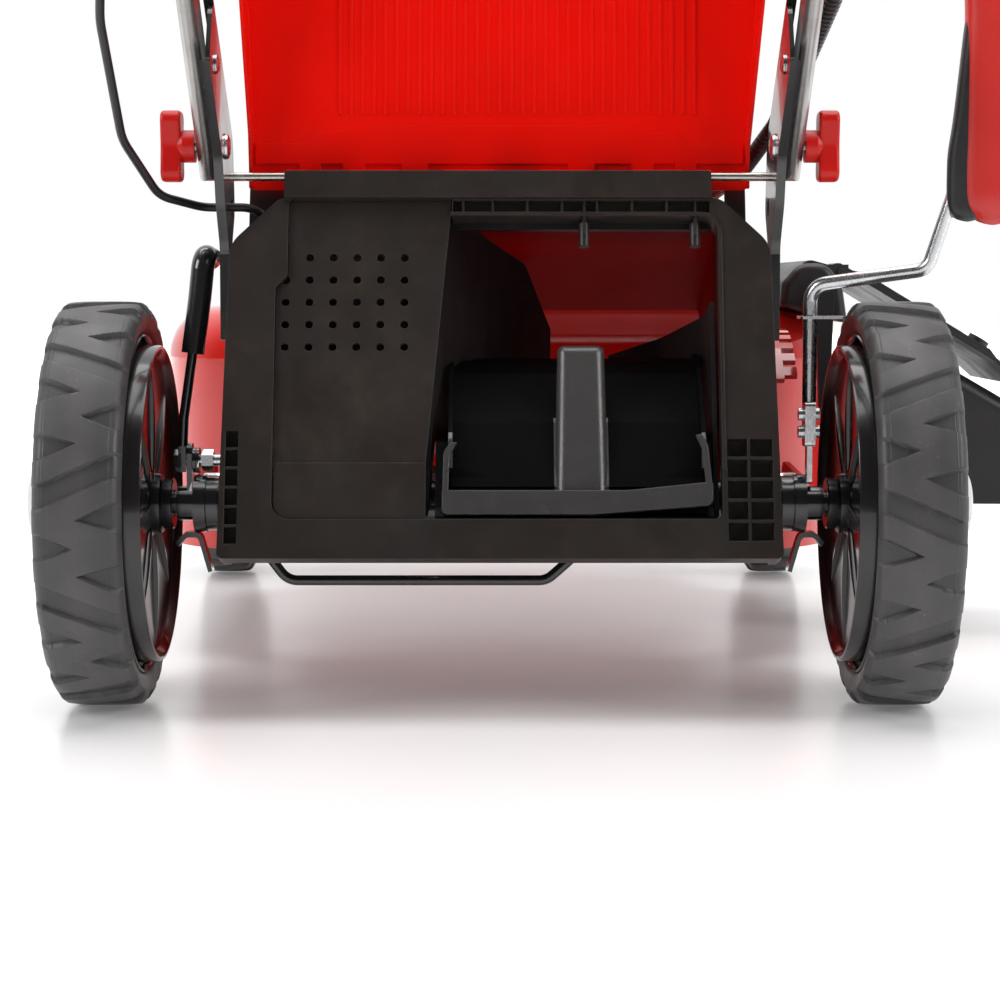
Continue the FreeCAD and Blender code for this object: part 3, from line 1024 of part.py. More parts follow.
def side_discharge():
    y0, y1 = 300.0, 530.0
    hinge = V(SIDE_HINGE_X, 0, SIDE_HINGE_Z)
    dome = slab_xz([(214, 276), (266, 262), (262, 290), (250, 308), (228, 308), (216, 294)],
                   [3, 3, 14, 16, 16, 10], 176, 292)
    dome = soften(dome, 6, lambda e: abs(e.BoundBox.YMin - 176) < 0.01 and abs(e.BoundBox.YMax - 176) < 0.01)
    leg = slab_xz([(238, 287), (252, 287), (249, 200), (245, 186), (241, 200)], [0, 0, 4, 3, 4], 152, 160)
    bridge = box(238, 252, 158, 180, 268, 287)
    rail = slab_xz([(214, 270), (265, 262), (265, 308), (250, 312), (226, 300)], [0, 0, 4, 8, 20],
                   286, y1 + 16)
    cover = fuse([dome, leg, bridge, rail]).cut(deck_core(-0.3, DECK_BOTTOM))
    cover = max(cover.Solids, key=lambda solid: solid.Volume)
    lugs = [box(265.02, 281, y, y + 8, 294, 308).cut(rod(3.02, hinge, hinge + V(0, 800, 0)))
            for y in (y0 - 16, y1 + 8)]
    pin = rod(3.0, hinge + V(0, y0 - 18, 0), hinge + V(0, y1 + 18, 0))
    save("side_hinge", cover, pin, *lugs)

    plate = slab([down_slope(d, off, y0 + 4) for d, off in
                  [(-2, 4.4), (-2, 7.4), (150, 7.4), (178, 2), (178, -1), (149, 4.4)]], [0, 0, 30, 0, 0, 30],
                 V(0, y1 - y0 - 8, 0))
    knuckles = [ring(7.4, 3.06, hinge + V(0, y, 0), hinge + V(0, y + 40, 0)) for y in (y0 + 4, 395, y1 - 44)]
    ribs = [slab([down_slope(d, off, y) for d, off in [(8, 7), (150, 7), (140, 11), (20, 11)]], 0, V(0, 4, 0))
            for y in (y0 + 6, 372, 454, y1 - 10)]
    boss = rod(9, down_slope(132, 7, y0 + 30), down_slope(132, 16, y0 + 30))
    flap = fuse([plate, boss] + knuckles + ribs).cut(rod(3.06, hinge + V(0, 200, 0), hinge + V(0, 600, 0)))
    save("side_flap", flap)

    def chute(inset):
        front, back = y0 + 12 + inset, y1 - 12 - inset
        near, far = 270.0 - (5 if inset else 0), 474.0 + (6 if inset else 0)
        sections = []
        for x, top, bottom, a, b in ((near, 214 - inset, 106 + inset, front + 10, back - 10),
                                     (350.0, 236 - inset, 100 + inset, front, back),
                                     (far, 164 - inset, 98 + inset, front - 6, back + 14)):
            corners = [V(x, a, bottom), V(x, b, bottom), V(x, b, top), V(x, a, top)]
            sections.append(rounded_wire(corners, 14 - inset, closed=True))
        return Part.makeLoft(sections, True, True)

    shell = chute(0).cut(chute(3)).cut(box(355, 490, 250, 560, 60, 112))
    save("side_deflector", max(shell.Solids, key=lambda s: s.Volume))


if __name__ == "__main__":
    os.makedirs("parts", exist_ok=True)
    save_wheels()
    rear_carriage()
    height_lever()
    drive_train()
    front_carriage()
    deck()
    height_rack()
    discharge_frame()
    discharge_duct()
    mulch_plug()
    guard_rod()
    rear_flap()
    hinge_rod()
    bracket_bolts = handle_brackets()
    handle_top = handles()
    handle_controls(handle_top)
    cables(handle_top)
    starter()
    engine_bolts = engine(ENGINE_SEAT)
    save("chassis_bolts", *(bracket_bolts + engine_bolts + pivot_pins()))
    blade_group()
    side_discharge()
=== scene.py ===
"""Looks of the walk-behind lawn mower: materials and the pieces that take over from plain CAD solids."""

import math

import bmesh
import bpy
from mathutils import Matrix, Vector


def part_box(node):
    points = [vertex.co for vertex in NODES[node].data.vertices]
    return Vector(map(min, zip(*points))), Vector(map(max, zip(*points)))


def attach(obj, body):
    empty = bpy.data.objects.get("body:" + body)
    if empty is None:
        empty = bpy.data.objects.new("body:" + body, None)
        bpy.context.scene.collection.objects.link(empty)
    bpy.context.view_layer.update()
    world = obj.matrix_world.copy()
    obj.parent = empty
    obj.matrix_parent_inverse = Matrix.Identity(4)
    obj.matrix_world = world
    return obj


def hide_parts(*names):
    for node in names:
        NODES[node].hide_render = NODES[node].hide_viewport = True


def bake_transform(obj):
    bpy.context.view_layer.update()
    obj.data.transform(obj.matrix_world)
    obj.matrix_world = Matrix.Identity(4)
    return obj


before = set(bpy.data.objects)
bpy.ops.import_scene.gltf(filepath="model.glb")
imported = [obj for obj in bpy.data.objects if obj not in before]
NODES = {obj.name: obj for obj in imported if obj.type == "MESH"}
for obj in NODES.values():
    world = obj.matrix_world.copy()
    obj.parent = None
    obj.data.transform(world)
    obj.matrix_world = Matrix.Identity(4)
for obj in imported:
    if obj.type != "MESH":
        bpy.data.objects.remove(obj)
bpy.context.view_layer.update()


# Materials


class Nodes:
    """Adds shader nodes to one material and joins them."""

    def __init__(self, name):
        self.material = bpy.data.materials.new(name)
        self.material.use_nodes = True
        self.tree = self.material.node_tree
        self.shader = self.tree.nodes["Principled BSDF"]
        self.place = self.tree.nodes.new("ShaderNodeTexCoord").outputs["Object"]

    def add(self, kind, **values):
        node = self.tree.nodes.new(kind)
        for key, value in values.items():
            if key in node.bl_rna.properties:
                setattr(node, key, value)
            else:
                self.put(node.inputs[key], value)
        return node

    def put(self, socket, value):
        if isinstance(value, bpy.types.NodeSocket):
            self.tree.links.new(value, socket)
        else:
            socket.default_value = value

    def stretched(self, factors):
        node = self.add("ShaderNodeMapping")
        self.put(node.inputs["Vector"], self.place)
        node.inputs["Scale"].default_value = factors
        return node.outputs["Vector"]

    def noise(self, scale, detail=3.0, rough=0.55, vector=None):
        node = self.add("ShaderNodeTexNoise", Scale=scale, Detail=detail, Roughness=rough)
        self.put(node.inputs["Vector"], vector or self.place)
        return node.outputs["Fac"]

    def span(self, value, low, high, to_low=0.0, to_high=1.0):
        node = self.add("ShaderNodeMapRange")
        self.put(node.inputs["Value"], value)
        for name, number in (("From Min", low), ("From Max", high), ("To Min", to_low), ("To Max", to_high)):
            node.inputs[name].default_value = number
        return node.outputs["Result"]

    def math(self, operation, first, second=0.0):
        node = self.add("ShaderNodeMath", operation=operation)
        self.put(node.inputs[0], first)
        self.put(node.inputs[1], second)
        return node.outputs["Value"]

    def mix(self, amount, first, second):
        node = self.add("ShaderNodeMix", data_type="RGBA")
        self.put(node.inputs["Factor"], amount)
        self.put(node.inputs["A"], first)
        self.put(node.inputs["B"], second)
        return node.outputs["Result"]

    def bump(self, height, distance, strength=1.0, normal=None):
        node = self.add("ShaderNodeBump", Distance=distance, Strength=strength)
        self.put(node.inputs["Height"], height)
        if normal is not None:
            self.put(node.inputs["Normal"], normal)
        return node.outputs["Normal"]

    def rounded(self, radius):
        """The normal with the edges rounded over a radius."""
        node = self.add("ShaderNodeBevel", samples=4)
        node.inputs["Radius"].default_value = radius
        return node.outputs["Normal"]

    def along(self, direction):
        """The place's distance along a direction, from the origin."""
        node = self.add("ShaderNodeVectorMath", operation="DOT_PRODUCT")
        self.put(node.inputs[0], self.place)
        node.inputs[1].default_value = direction
        return node.outputs["Value"]

    def axis(self, index):
        node = self.add("ShaderNodeSeparateXYZ")
        self.put(node.inputs[0], self.place)
        return node.outputs[index]


def rgba(colour):
    return (colour[0], colour[1], colour[2], 1.0)


def plastic(name, colour, light, rough, grain, grain_size, dust=0.0, dust_colour=(0.25, 0.21, 0.18),
            coat=0.0, gloss=0.5, edge=0.0, smudge=0.0):
    """Moulded plastic or rubber: cloudy colour, a fine grain, a little dust, smudges and softened edges."""
    n = Nodes(name)
    cloud = n.noise(9.0, 4.0)
    fine = n.noise(1.0 / grain_size, 2.0)
    base = n.mix(n.span(cloud, 0.3, 0.7), rgba(colour), rgba(light))
    if smudge:
        patches = n.span(n.noise(7.0, 5.0, 0.6), 0.50, 0.72)
        specks = n.span(n.noise(75.0, 4.0, 0.65), 0.4, 0.7)
        wiped = n.math("MULTIPLY", patches, specks)
        base = n.mix(n.math("MULTIPLY", wiped, smudge), base, rgba(dust_colour))
    spots = n.span(n.noise(60.0, 6.0, 0.7), 0.52, 0.85, 0.0, dust)
    n.put(n.shader.inputs["Base Color"], n.mix(spots, base, rgba(dust_colour)))
    n.put(n.shader.inputs["Roughness"], n.span(n.noise(26.0, 4.0), 0.3, 0.75, rough[0], rough[1]))
    n.put(n.shader.inputs["Normal"], n.bump(fine, grain, 0.6, n.rounded(edge) if edge else None))
    n.shader.inputs["Specular IOR Level"].default_value = gloss
    n.shader.inputs["Coat Weight"].default_value = coat
    n.shader.inputs["Coat Roughness"].default_value = 0.08
    return n.material


def paint(name, colour, deep, rough=(0.12, 0.2), dirt=0.1, dirt_colour=(0.12, 0.09, 0.07)):
    """Glossy paint with a faint orange peel and thin dirt."""
    n = Nodes(name)
    base = n.mix(n.span(n.noise(5.0, 3.0), 0.3, 0.7), rgba(colour), rgba(deep))
    film = n.span(n.noise(42.0, 7.0, 0.7), 0.58, 0.9, 0.0, dirt)
    n.put(n.shader.inputs["Base Color"], n.mix(film, base, rgba(dirt_colour)))
    n.put(n.shader.inputs["Roughness"], n.span(n.noise(30.0, 4.0), 0.35, 0.75, rough[0], rough[1]))
    n.put(n.shader.inputs["Normal"], n.bump(n.noise(330.0, 1.0), 0.00006, 0.5))
    n.shader.inputs["Coat Weight"].default_value = 0.6
    n.shader.inputs["Coat Roughness"].default_value = 0.05
    return n.material


def metal(name, colour, shade, rough, streak=(1.0, 1.0, 1.0), streak_size=0.0008, depth=0.00002):
    """Bare or plated metal with streaks along its working direction and cloudy stains."""
    n = Nodes(name)
    lines = n.noise(1.0 / streak_size, 3.0, 0.6, n.stretched(streak))
    stain = n.noise(34.0, 5.0, 0.65)
    tone = n.math("MULTIPLY", n.span(stain, 0.35, 0.75), n.span(lines, 0.25, 0.75, 0.5, 1.0))
    n.put(n.shader.inputs["Base Color"], n.mix(tone, rgba(colour), rgba(shade)))
    n.put(n.shader.inputs["Roughness"], n.span(lines, 0.25, 0.8, rough[0], rough[1]))
    n.put(n.shader.inputs["Normal"], n.bump(lines, depth, 0.5))
    n.shader.inputs["Metallic"].default_value = 1.0
    return n.material


NODE_CHOICES = ("operation", "data_type", "blend_type", "samples")


def copied_shader(tree, source):
    """Copies a material's shader nodes into tree and gives the output of the copied shader."""
    copies = {}
    for node in source.node_tree.nodes:
        if node.type == "OUTPUT_MATERIAL":
            continue
        twin = tree.nodes.new(node.bl_idname)
        for prop in node.bl_rna.properties:
            if not prop.is_readonly and prop.identifier in NODE_CHOICES:
                setattr(twin, prop.identifier, getattr(node, prop.identifier))
        for old, new in zip(node.inputs, twin.inputs):
            if hasattr(old, "default_value"):
                new.default_value = old.default_value
        copies[node.name] = twin
    for link in source.node_tree.links:
        if link.to_node.type == "OUTPUT_MATERIAL":
            continue
        start = list(link.from_node.outputs).index(link.from_socket)
        end = list(link.to_node.inputs).index(link.to_socket)
        output = copies[link.from_node.name].outputs[start]
        tree.links.new(output, copies[link.to_node.name].inputs[end])
    return next(twin for twin in copies.values() if twin.type == "BSDF_PRINCIPLED").outputs[0]


def by_place(name, first, second, toward, border, band=None):
    """Material first, and second wherever the place's distance along toward is past border.
    band = (centre, half width, own border): inside that band of x the border is its own one."""
    material = bpy.data.materials.new(name)
    material.use_nodes = True
    tree = material.node_tree
    tree.nodes.clear()
    out = tree.nodes.new("ShaderNodeOutputMaterial")
    blend = tree.nodes.new("ShaderNodeMixShader")
    tree.links.new(blend.outputs[0], out.inputs["Surface"])
    for slot, source in ((1, first), (2, second)):
        tree.links.new(copied_shader(tree, source), blend.inputs[slot])
    place = tree.nodes.new("ShaderNodeTexCoord")
    reach = tree.nodes.new("ShaderNodeVectorMath")
    reach.operation = "DOT_PRODUCT"
    tree.links.new(place.outputs["Object"], reach.inputs[0])
    reach.inputs[1].default_value = toward
    past = tree.nodes.new("ShaderNodeMath")
    past.operation = "GREATER_THAN"
    tree.links.new(reach.outputs["Value"], past.inputs[0])
    past.inputs[1].default_value = border
    if band:
        centre, half_width, own_border = band
        across = tree.nodes.new("ShaderNodeSeparateXYZ")
        tree.links.new(place.outputs["Object"], across.inputs[0])
        inside = tree.nodes.new("ShaderNodeMath")
        inside.operation = "COMPARE"
        tree.links.new(across.outputs["X"], inside.inputs[0])
        inside.inputs[1].default_value = centre
        inside.inputs[2].default_value = half_width
        edge = tree.nodes.new("ShaderNodeMix")
        tree.links.new(inside.outputs[0], edge.inputs["Factor"])
        edge.inputs["A"].default_value = border
        edge.inputs["B"].default_value = own_border
        tree.links.new(edge.outputs["Result"], past.inputs[1])
    tree.links.new(past.outputs[0], blend.inputs[0])
    return material


def ribbed(name, colour, direction, pitch):
    """Corrugated conduit: rings all along it, with painted shade darkening the grooves between them."""
    n = Nodes(name)
    wave = n.math("SINE", n.math("MULTIPLY", n.along(direction), 2 * math.pi / pitch))
    # Painted shade in the grooves.
    groove_shade = n.span(wave, -1.0, 0.2, 0.5, 0.0)
    n.put(n.shader.inputs["Base Color"], n.mix(groove_shade, rgba(colour), (0.003, 0.003, 0.003, 1)))
    n.put(n.shader.inputs["Roughness"], n.span(n.noise(40.0, 4.0), 0.3, 0.75, 0.26, 0.4))
    n.put(n.shader.inputs["Normal"], n.bump(wave, 0.0008, 1.0))
    return n.material


def shaded_tunnel_red():
    """The discharge tunnel's inside: the deck's red darkened as painted shade, dull and a little dirty, with
    more painted shade, near black, towards the frame.
    """
    n = Nodes("deck_inside_painted_shade")
    red = n.mix(n.span(n.noise(9.0, 4.0), 0.3, 0.7),
                rgba((0.34, 0.0020, 0.0012)), rgba((0.26, 0.0016, 0.0010)))
    dirty = n.mix(n.span(n.noise(60.0, 6.0, 0.7), 0.52, 0.85, 0.0, 0.05), red, rgba((0.05, 0.010, 0.006)))
    # Painted shade: near black where the tunnel meets the frame.
    frame_shade = n.span(n.axis(1), 0.03, 0.09)
    n.put(n.shader.inputs["Base Color"], n.mix(frame_shade, rgba((0.006, 0.004, 0.004)), dirty))
    n.put(n.shader.inputs["Roughness"], n.span(n.noise(26.0, 4.0), 0.3, 0.75, 0.35, 0.5))
    n.shader.inputs["Specular IOR Level"].default_value = 0.02
    return n.material


# Bands of x, each as its centre, half width and border, and the borders of the other two-part materials.
# The tunnel is a band that ends 0.25 m ahead and gets the red darkened as painted shade, and nothing else of
# the deck is tunnel.
BACKWARD = (0, -1, 0)
TUNNEL_BAND = (0.055, 0.125, -0.25)
NOWHERE = 50.0
# The plug's lip and post are pale, and the rest of it gets a near-black copy of its plastic as painted shade;
# borders go forward along the frame's lean.
PLUG_FORWARD = (0, 0.956, -0.292)
PLUG_BORDER = -0.1016
PLUG_POST_BAND = (0.055, 0.0185, -0.0861)
# The spark plug's cap begins this far ahead of the crankcase.
SPARK_PLUG_AHEAD = 0.0965
# The left lever's strap is bare metal: it lies inward and down from the dipped part.
LEVER_INWARD = (1, 0, -0.35)
LEVER_BORDER = -0.268

DECK_RED = paint("deck_red", (0.66, 0.012, 0.006), (0.58, 0.008, 0.004), (0.10, 0.2), 0.08)
DECK = by_place("deck_parts", DECK_RED, shaded_tunnel_red(), BACKWARD, NOWHERE, TUNNEL_BAND)
FLAP_RED = plastic("flap_red", (0.80, 0.0045, 0.0008), (0.70, 0.0035, 0.0006), (0.30, 0.42),
                   0.00008, 0.0011, 0.02, (0.5, 0.12, 0.08), gloss=0.12, edge=0.0006)
KNOB_RED = plastic("knob_red", (0.56, 0.006, 0.003), (0.47, 0.005, 0.0025), (0.26, 0.38),
                   0.00008, 0.0009, 0.03, gloss=0.35, edge=0.0008)
GRIP_RED = plastic("grip_red", (0.56, 0.022, 0.016), (0.48, 0.016, 0.012), (0.30, 0.42),
                   0.0001, 0.0011, 0.03, gloss=0.5)
FRAME_BLACK = plastic("frame_black", (0.0150, 0.0118, 0.0105), (0.0235, 0.0175, 0.0150), (0.30, 0.46),
                      0.00006, 0.0012, 0.07, (0.20, 0.14, 0.085), gloss=0.4, edge=0.0007, smudge=0.10)
DUCT_BLACK = plastic("duct_black", (0.0075, 0.0068, 0.0070), (0.0115, 0.0105, 0.0105), (0.42, 0.6),
                     0.00006, 0.0012, 0.05, gloss=0.25)
PLUG_GREY = plastic("plug_grained", (0.034, 0.032, 0.032), (0.046, 0.044, 0.043), (0.26, 0.38),
                    0.00030, 0.0013, 0.08, gloss=0.7, edge=0.0012)
# Painted shade: a near-black, dull copy of the plug's plastic for all of the plug past the border.
PLUG_SHADED = plastic("plug_painted_shade", (0.0024, 0.0021, 0.0022), (0.0040, 0.0036, 0.0037), (0.5, 0.65),
                      0.0002, 0.0013, 0.0, gloss=0.04)
PLUG = by_place("plug_parts", PLUG_GREY, PLUG_SHADED, PLUG_FORWARD, PLUG_BORDER, PLUG_POST_BAND)
ENGINE_BLACK = plastic("engine_black", (0.014, 0.014, 0.015), (0.022, 0.022, 0.023), (0.3, 0.45),
                       0.0002, 0.0014, 0.04, gloss=0.4, edge=0.0008)
GREY_PLASTIC = plastic("grey_plastic", (0.03, 0.03, 0.032), (0.045, 0.045, 0.047), (0.35, 0.5),
                       0.0002, 0.0014, 0.04, gloss=0.4, edge=0.0008)
FOAM = plastic("grip_foam", (0.018, 0.018, 0.018), (0.028, 0.027, 0.027), (0.75, 0.9),
               0.0005, 0.0016, 0.05, gloss=0.3)
RUBBER = plastic("cable_rubber", (0.008, 0.008, 0.008), (0.014, 0.013, 0.013), (0.32, 0.45),
                 0.00004, 0.0012, 0.03)
CONDUIT = ribbed("conduit_black", (0.012, 0.012, 0.012), (0.0, -0.743, 0.669), 0.0042)
SLEEVE = plastic("dipped_sleeve", (0.008, 0.008, 0.008), (0.012, 0.012, 0.012), (0.14, 0.22),
                 0.00003, 0.002, 0.02, coat=0.5)
RIM_BLACK = plastic("rim_black", (0.007, 0.006, 0.006), (0.010, 0.008, 0.008), (0.16, 0.24),
                    0.00002, 0.004, 0.01, coat=0.35)
BLACK_PAINT = paint("black_paint", (0.010, 0.010, 0.010), (0.016, 0.015, 0.015), (0.18, 0.3),
                    0.25, (0.09, 0.08, 0.075))
CAP_SILVER = plastic("cap_silver", (0.66, 0.66, 0.65), (0.58, 0.58, 0.57), (0.22, 0.32),
                     0.00004, 0.001, 0.03)
TUBE_SILVER = metal("tube_silver", (0.42, 0.41, 0.40), (0.30, 0.29, 0.28), (0.26, 0.42),
                    (1, 6, 6), 0.002, 0.00004)
ZINC = metal("zinc_plate", (0.62, 0.63, 0.64), (0.42, 0.42, 0.44), (0.16, 0.34), (1, 1, 0.3), 0.0012)
ROD_STEEL = metal("rod_steel", (0.50, 0.48, 0.44), (0.34, 0.31, 0.28), (0.2, 0.38), (0.1, 1, 1), 0.0009)
BLADE_STEEL = metal("blade_steel", (0.10, 0.10, 0.105), (0.05, 0.05, 0.052), (0.34, 0.5),
                    (0.15, 1, 1), 0.0011)
CAST = metal("cast_aluminium", (0.40, 0.40, 0.40), (0.25, 0.25, 0.25), (0.42, 0.62),
             (1, 1, 1), 0.0011, 0.0003)
EXHAUST = metal("exhaust_steel", (0.20, 0.18, 0.16), (0.09, 0.075, 0.065), (0.4, 0.62),
                (1, 1, 1), 0.003, 0.0001)
PAPER = plastic("filter_paper", (0.72, 0.50, 0.24), (0.62, 0.42, 0.20), (0.85, 0.95), 0.0002, 0.0009, 0.1)
CYLINDER = by_place("cylinder_parts", CAST, RUBBER, (0, 1, 0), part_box("crankcase")[1][1] + SPARK_PLUG_AHEAD)
LEFT_LEVER = by_place("left_lever_parts", SLEEVE, ZINC, LEVER_INWARD, LEVER_BORDER)

FINISHES = {
    "deck": DECK, "height_rack": DECK_RED, "discharge_frame": FRAME_BLACK, "discharge_duct": DUCT_BLACK,
    "guard_rod": BLACK_PAINT, "hinge_rod": ROD_STEEL, "handle_brackets": BLACK_PAINT, "chassis_bolts": ZINC,
    "crankcase": CAST, "cylinder": CYLINDER,
    "engine_shroud": ENGINE_BLACK, "recoil_cover": GREY_PLASTIC, "fuel_tank": ENGINE_BLACK,
    "air_filter_box": GREY_PLASTIC, "air_filter": PAPER, "carburettor": CAST, "muffler": EXHAUST,
    "drive_belt": RUBBER, "side_hinge": ENGINE_BLACK, "rear_axle": BLACK_PAINT, "axle_brackets": BLACK_PAINT,
    "left_lever": LEFT_LEVER,
    "height_lever_rod": ZINC, "gearbox_pulley": BLACK_PAINT,
    "front_axle": BLACK_PAINT, "front_lever": BLACK_PAINT,
    "mulch_plug": PLUG, "rear_flap": FLAP_RED, "lower_handle": TUBE_SILVER, "fold_bolts": ZINC,
    "drive_cable_lower": RUBBER, "upper_cables": RUBBER, "lower_knob_right": KNOB_RED,
    "lower_knob_left": KNOB_RED, "fold_knob_right": KNOB_RED, "fold_knob_left": KNOB_RED,
    "upper_handle": TUBE_SILVER, "handle_grip_sleeve": FOAM, "bail_mounts": ENGINE_BLACK,
    "brake_bail": BLACK_PAINT, "drive_bail": BLACK_PAINT, "starter_handle": ENGINE_BLACK,
    "fuel_cap": ENGINE_BLACK, "oil_cap": GREY_PLASTIC, "flywheel": CAST, "blade_adapter": ZINC,
    "blade": BLADE_STEEL, "side_flap": ENGINE_BLACK, "side_deflector": ENGINE_BLACK,
    "brake_cable_conduit": CONDUIT,
}
for node_name, finish in FINISHES.items():
    mesh = NODES[node_name].data
    mesh.materials.clear()
    mesh.materials.append(finish)


# Shapes


def piece(name, points, faces, finish, body, sharp=35.0):
    """A mesh in the row frame that rides on a CAD body."""
    mesh = bpy.data.meshes.new(name)
    mesh.from_pydata([tuple(p) for p in points], [], faces)
    mesh.validate()
    mesh.materials.append(finish)
    mesh.shade_smooth()
    mesh.set_sharp_from_angle(angle=math.radians(sharp))
    item = bpy.data.objects.new(name, mesh)
    bpy.context.scene.collection.objects.link(item)
    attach(item, body)
    return item


def ring_faces(rows, columns, closed_rows):
    """Quads of a grid that closes along its columns, and along its rows too if asked."""
    faces = []
    for r in range(rows if closed_rows else rows - 1):
        for c in range(columns):
            a, b = r * columns, ((r + 1) % rows) * columns
            d = (c + 1) % columns
            faces.append((a + c, a + d, b + d, b + c))
    return faces


def turned(profile, centre, side, columns):
    """Points of a profile of (radius, x) pairs turned about the X axis through centre; side is 1 or -1."""
    points = []
    for radius, x in profile:
        for c in range(columns):
            angle = 2 * math.pi * c / columns
            points.append((centre[0] + side * x, centre[1] + radius * math.cos(angle),
                           centre[2] + radius * math.sin(angle)))
    return points


# Tyres

TREAD_PITCH = 36.0
TREAD_DEPTH = 0.0034
BAND_SLANT = 4.3
BAND_HALF = 3.4
NOTCH_HALF = 3.7
NOTCH_APART = 8.6
WALL_DEGREES = 0.45
BIG_WHEEL_RADIUS = 0.12
BIG_TYRE_DEPTH = 0.023
SMALL_TYRE_DEPTH = 0.020


def bead_of(radius):
    """The radius where a tyre of this outer radius meets its rim."""
    return radius - (BIG_TYRE_DEPTH if radius > BIG_WHEEL_RADIUS else SMALL_TYRE_DEPTH)


def tread(angle, across):
    """How far the tread is cut away, from 0 to 1, at an angle in degrees and a place across from -1 to 1."""
    k = math.floor(angle / TREAD_PITCH)
    start = k * TREAD_PITCH
    lean = 1 if k % 2 == 0 else -1
    inside = [BAND_HALF - abs(angle - start + lean * BAND_SLANT * across),
              BAND_HALF - abs(angle - start - TREAD_PITCH - lean * BAND_SLANT * across)]
    middle = start + TREAD_PITCH / 2
    reach = across * lean
    if reach > 0.02:
        half = NOTCH_HALF * (reach - 0.02) / 0.98
        inside += [half - abs(angle - middle - away * (NOTCH_APART + reach - 1)) for away in (-1, 1)]
    elif reach < -0.10:
        inside.append(NOTCH_HALF * (-reach - 0.10) / 0.90 - abs(angle - middle))
    return max(0.0, min(1.0, max(inside) / WALL_DEGREES + 0.2))


def tyre(name, node, body, side, phase, columns, lines):
    """A tyre with its tread cut in; phase turns the pattern, columns and lines are its grid."""
    low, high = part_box(node)
    centre = [(a + b) / 2 for a, b in zip(low, high)]
    radius = (high[2] - low[2]) / 2
    half = (high[0] - low[0]) / 2
    bead = bead_of(radius)
    crown = half - 0.0050
    # Rows of radius, x and how much of the tread's depth counts there.
    wall = [
        (bead - 0.002, -half + 0.009, 0), (bead + 0.0005, -half + 0.0050, 0),
        (bead + 0.003, -half + 0.0024, 0), (bead + 0.006, -half + 0.0016, 0),
        (radius - 0.0120, -half + 0.0004, 0), (radius - 0.0086, -half, 0.4),
        (radius - 0.0062, -half + 0.0004, 0.8), (radius - 0.0022, -half + 0.0030, 1),
    ]
    rows = list(wall)
    for i in range(lines):
        x = -crown + 2 * crown * i / (lines - 1)
        rows.append((radius - 0.0009 * (x / crown) ** 4, x, 1))
    rows += [(r, -x, weight) for r, x, weight in reversed(wall)]
    points = []
    for r, x, weight in rows:
        across = max(-1.0, min(1.0, x / crown))
        for c in range(columns):
            degrees = 360.0 * c / columns
            cut = TREAD_DEPTH * weight * tread((degrees - phase) % 360.0, across) if weight else 0.0
            angle = math.radians(degrees)
            points.append((centre[0] + side * x, centre[1] - (r - cut) * math.cos(angle),
                           centre[2] + (r - cut) * math.sin(angle)))
    faces = ring_faces(len(rows), columns, True)
    item = piece(name, points, faces, tyre_rubber(node, centre, radius), body, 32.0)
    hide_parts(node)


def tyre_rubber(node, centre, radius):
    """Dull rubber: the middle of the tread is rubbed lighter and dusty; all below its top, grooves and walls,
    is darker, as painted shade.
    """
    n = Nodes(node + "_rubber")
    off = n.math("SUBTRACT", n.math("ABSOLUTE", n.axis(0)), abs(centre[0]))
    middle = n.span(n.math("ABSOLUTE", off), 0.003, 0.013, 1.0, 0.12)
    y = n.math("SUBTRACT", n.axis(1), centre[1])
    z = n.math("SUBTRACT", n.axis(2), centre[2])
    reach = n.math("SQRT", n.math("ADD", n.math("MULTIPLY", y, y), n.math("MULTIPLY", z, z)))
    # Painted shade: everything below the tread's top is mixed toward near-black.
    low = n.span(reach, radius - 0.0036, radius - 0.0022, 1.0, 0.0)
    base = n.mix(n.span(n.noise(15.0, 5.0), 0.3, 0.7), (0.040, 0.0385, 0.039, 1), (0.066, 0.063, 0.063, 1))
    worn = n.mix(n.math("MULTIPLY", middle, n.span(n.noise(22.0, 3.0), 0.35, 0.7, 0.1, 0.75)), base,
                 (0.085, 0.080, 0.079, 1))
    grit = n.math("MULTIPLY", n.span(n.noise(460.0, 4.0, 0.7), 0.60, 0.72, 0.0, 0.8),
                  n.math("MULTIPLY", middle, n.span(n.noise(34.0, 4.0), 0.45, 0.65)))
    dusty = n.mix(grit, worn, (0.30, 0.25, 0.21, 1))
    shaded = n.mix(n.math("MULTIPLY", low, 0.45), dusty, (0.026, 0.025, 0.025, 1))
    n.put(n.shader.inputs["Base Color"], shaded)
    n.put(n.shader.inputs["Roughness"], n.span(n.noise(50.0, 5.0), 0.3, 0.75, 0.38, 0.56))
    seam = n.span(n.math("ABSOLUTE", n.math("SUBTRACT", n.math("ABSOLUTE", off), 0.0212 * radius / 0.14)),
                  0.0, 0.0006, 1.0, 0.0)
    relief = n.math("ADD", n.math("MULTIPLY", n.noise(900.0, 2.0), 0.25), seam)
    n.put(n.shader.inputs["Normal"], n.bump(relief, 0.0003, 0.6))
    return n.material


# Rims


SPOKES = 8
SPOKE_STEPS = 18
SPOKE_START = 0.0200
SPOKE_HALF_WIDTH = 0.0022
SPOKE_HEIGHT = 0.0034
SPOKE_SECTION = ((-1.0, -0.08), (-0.8, 0.5), (-0.35, 0.95), (0.35, 0.95), (0.8, 0.5), (1.0, -0.08))
RIM_COLUMNS = 160
CAP_COLUMNS = 96


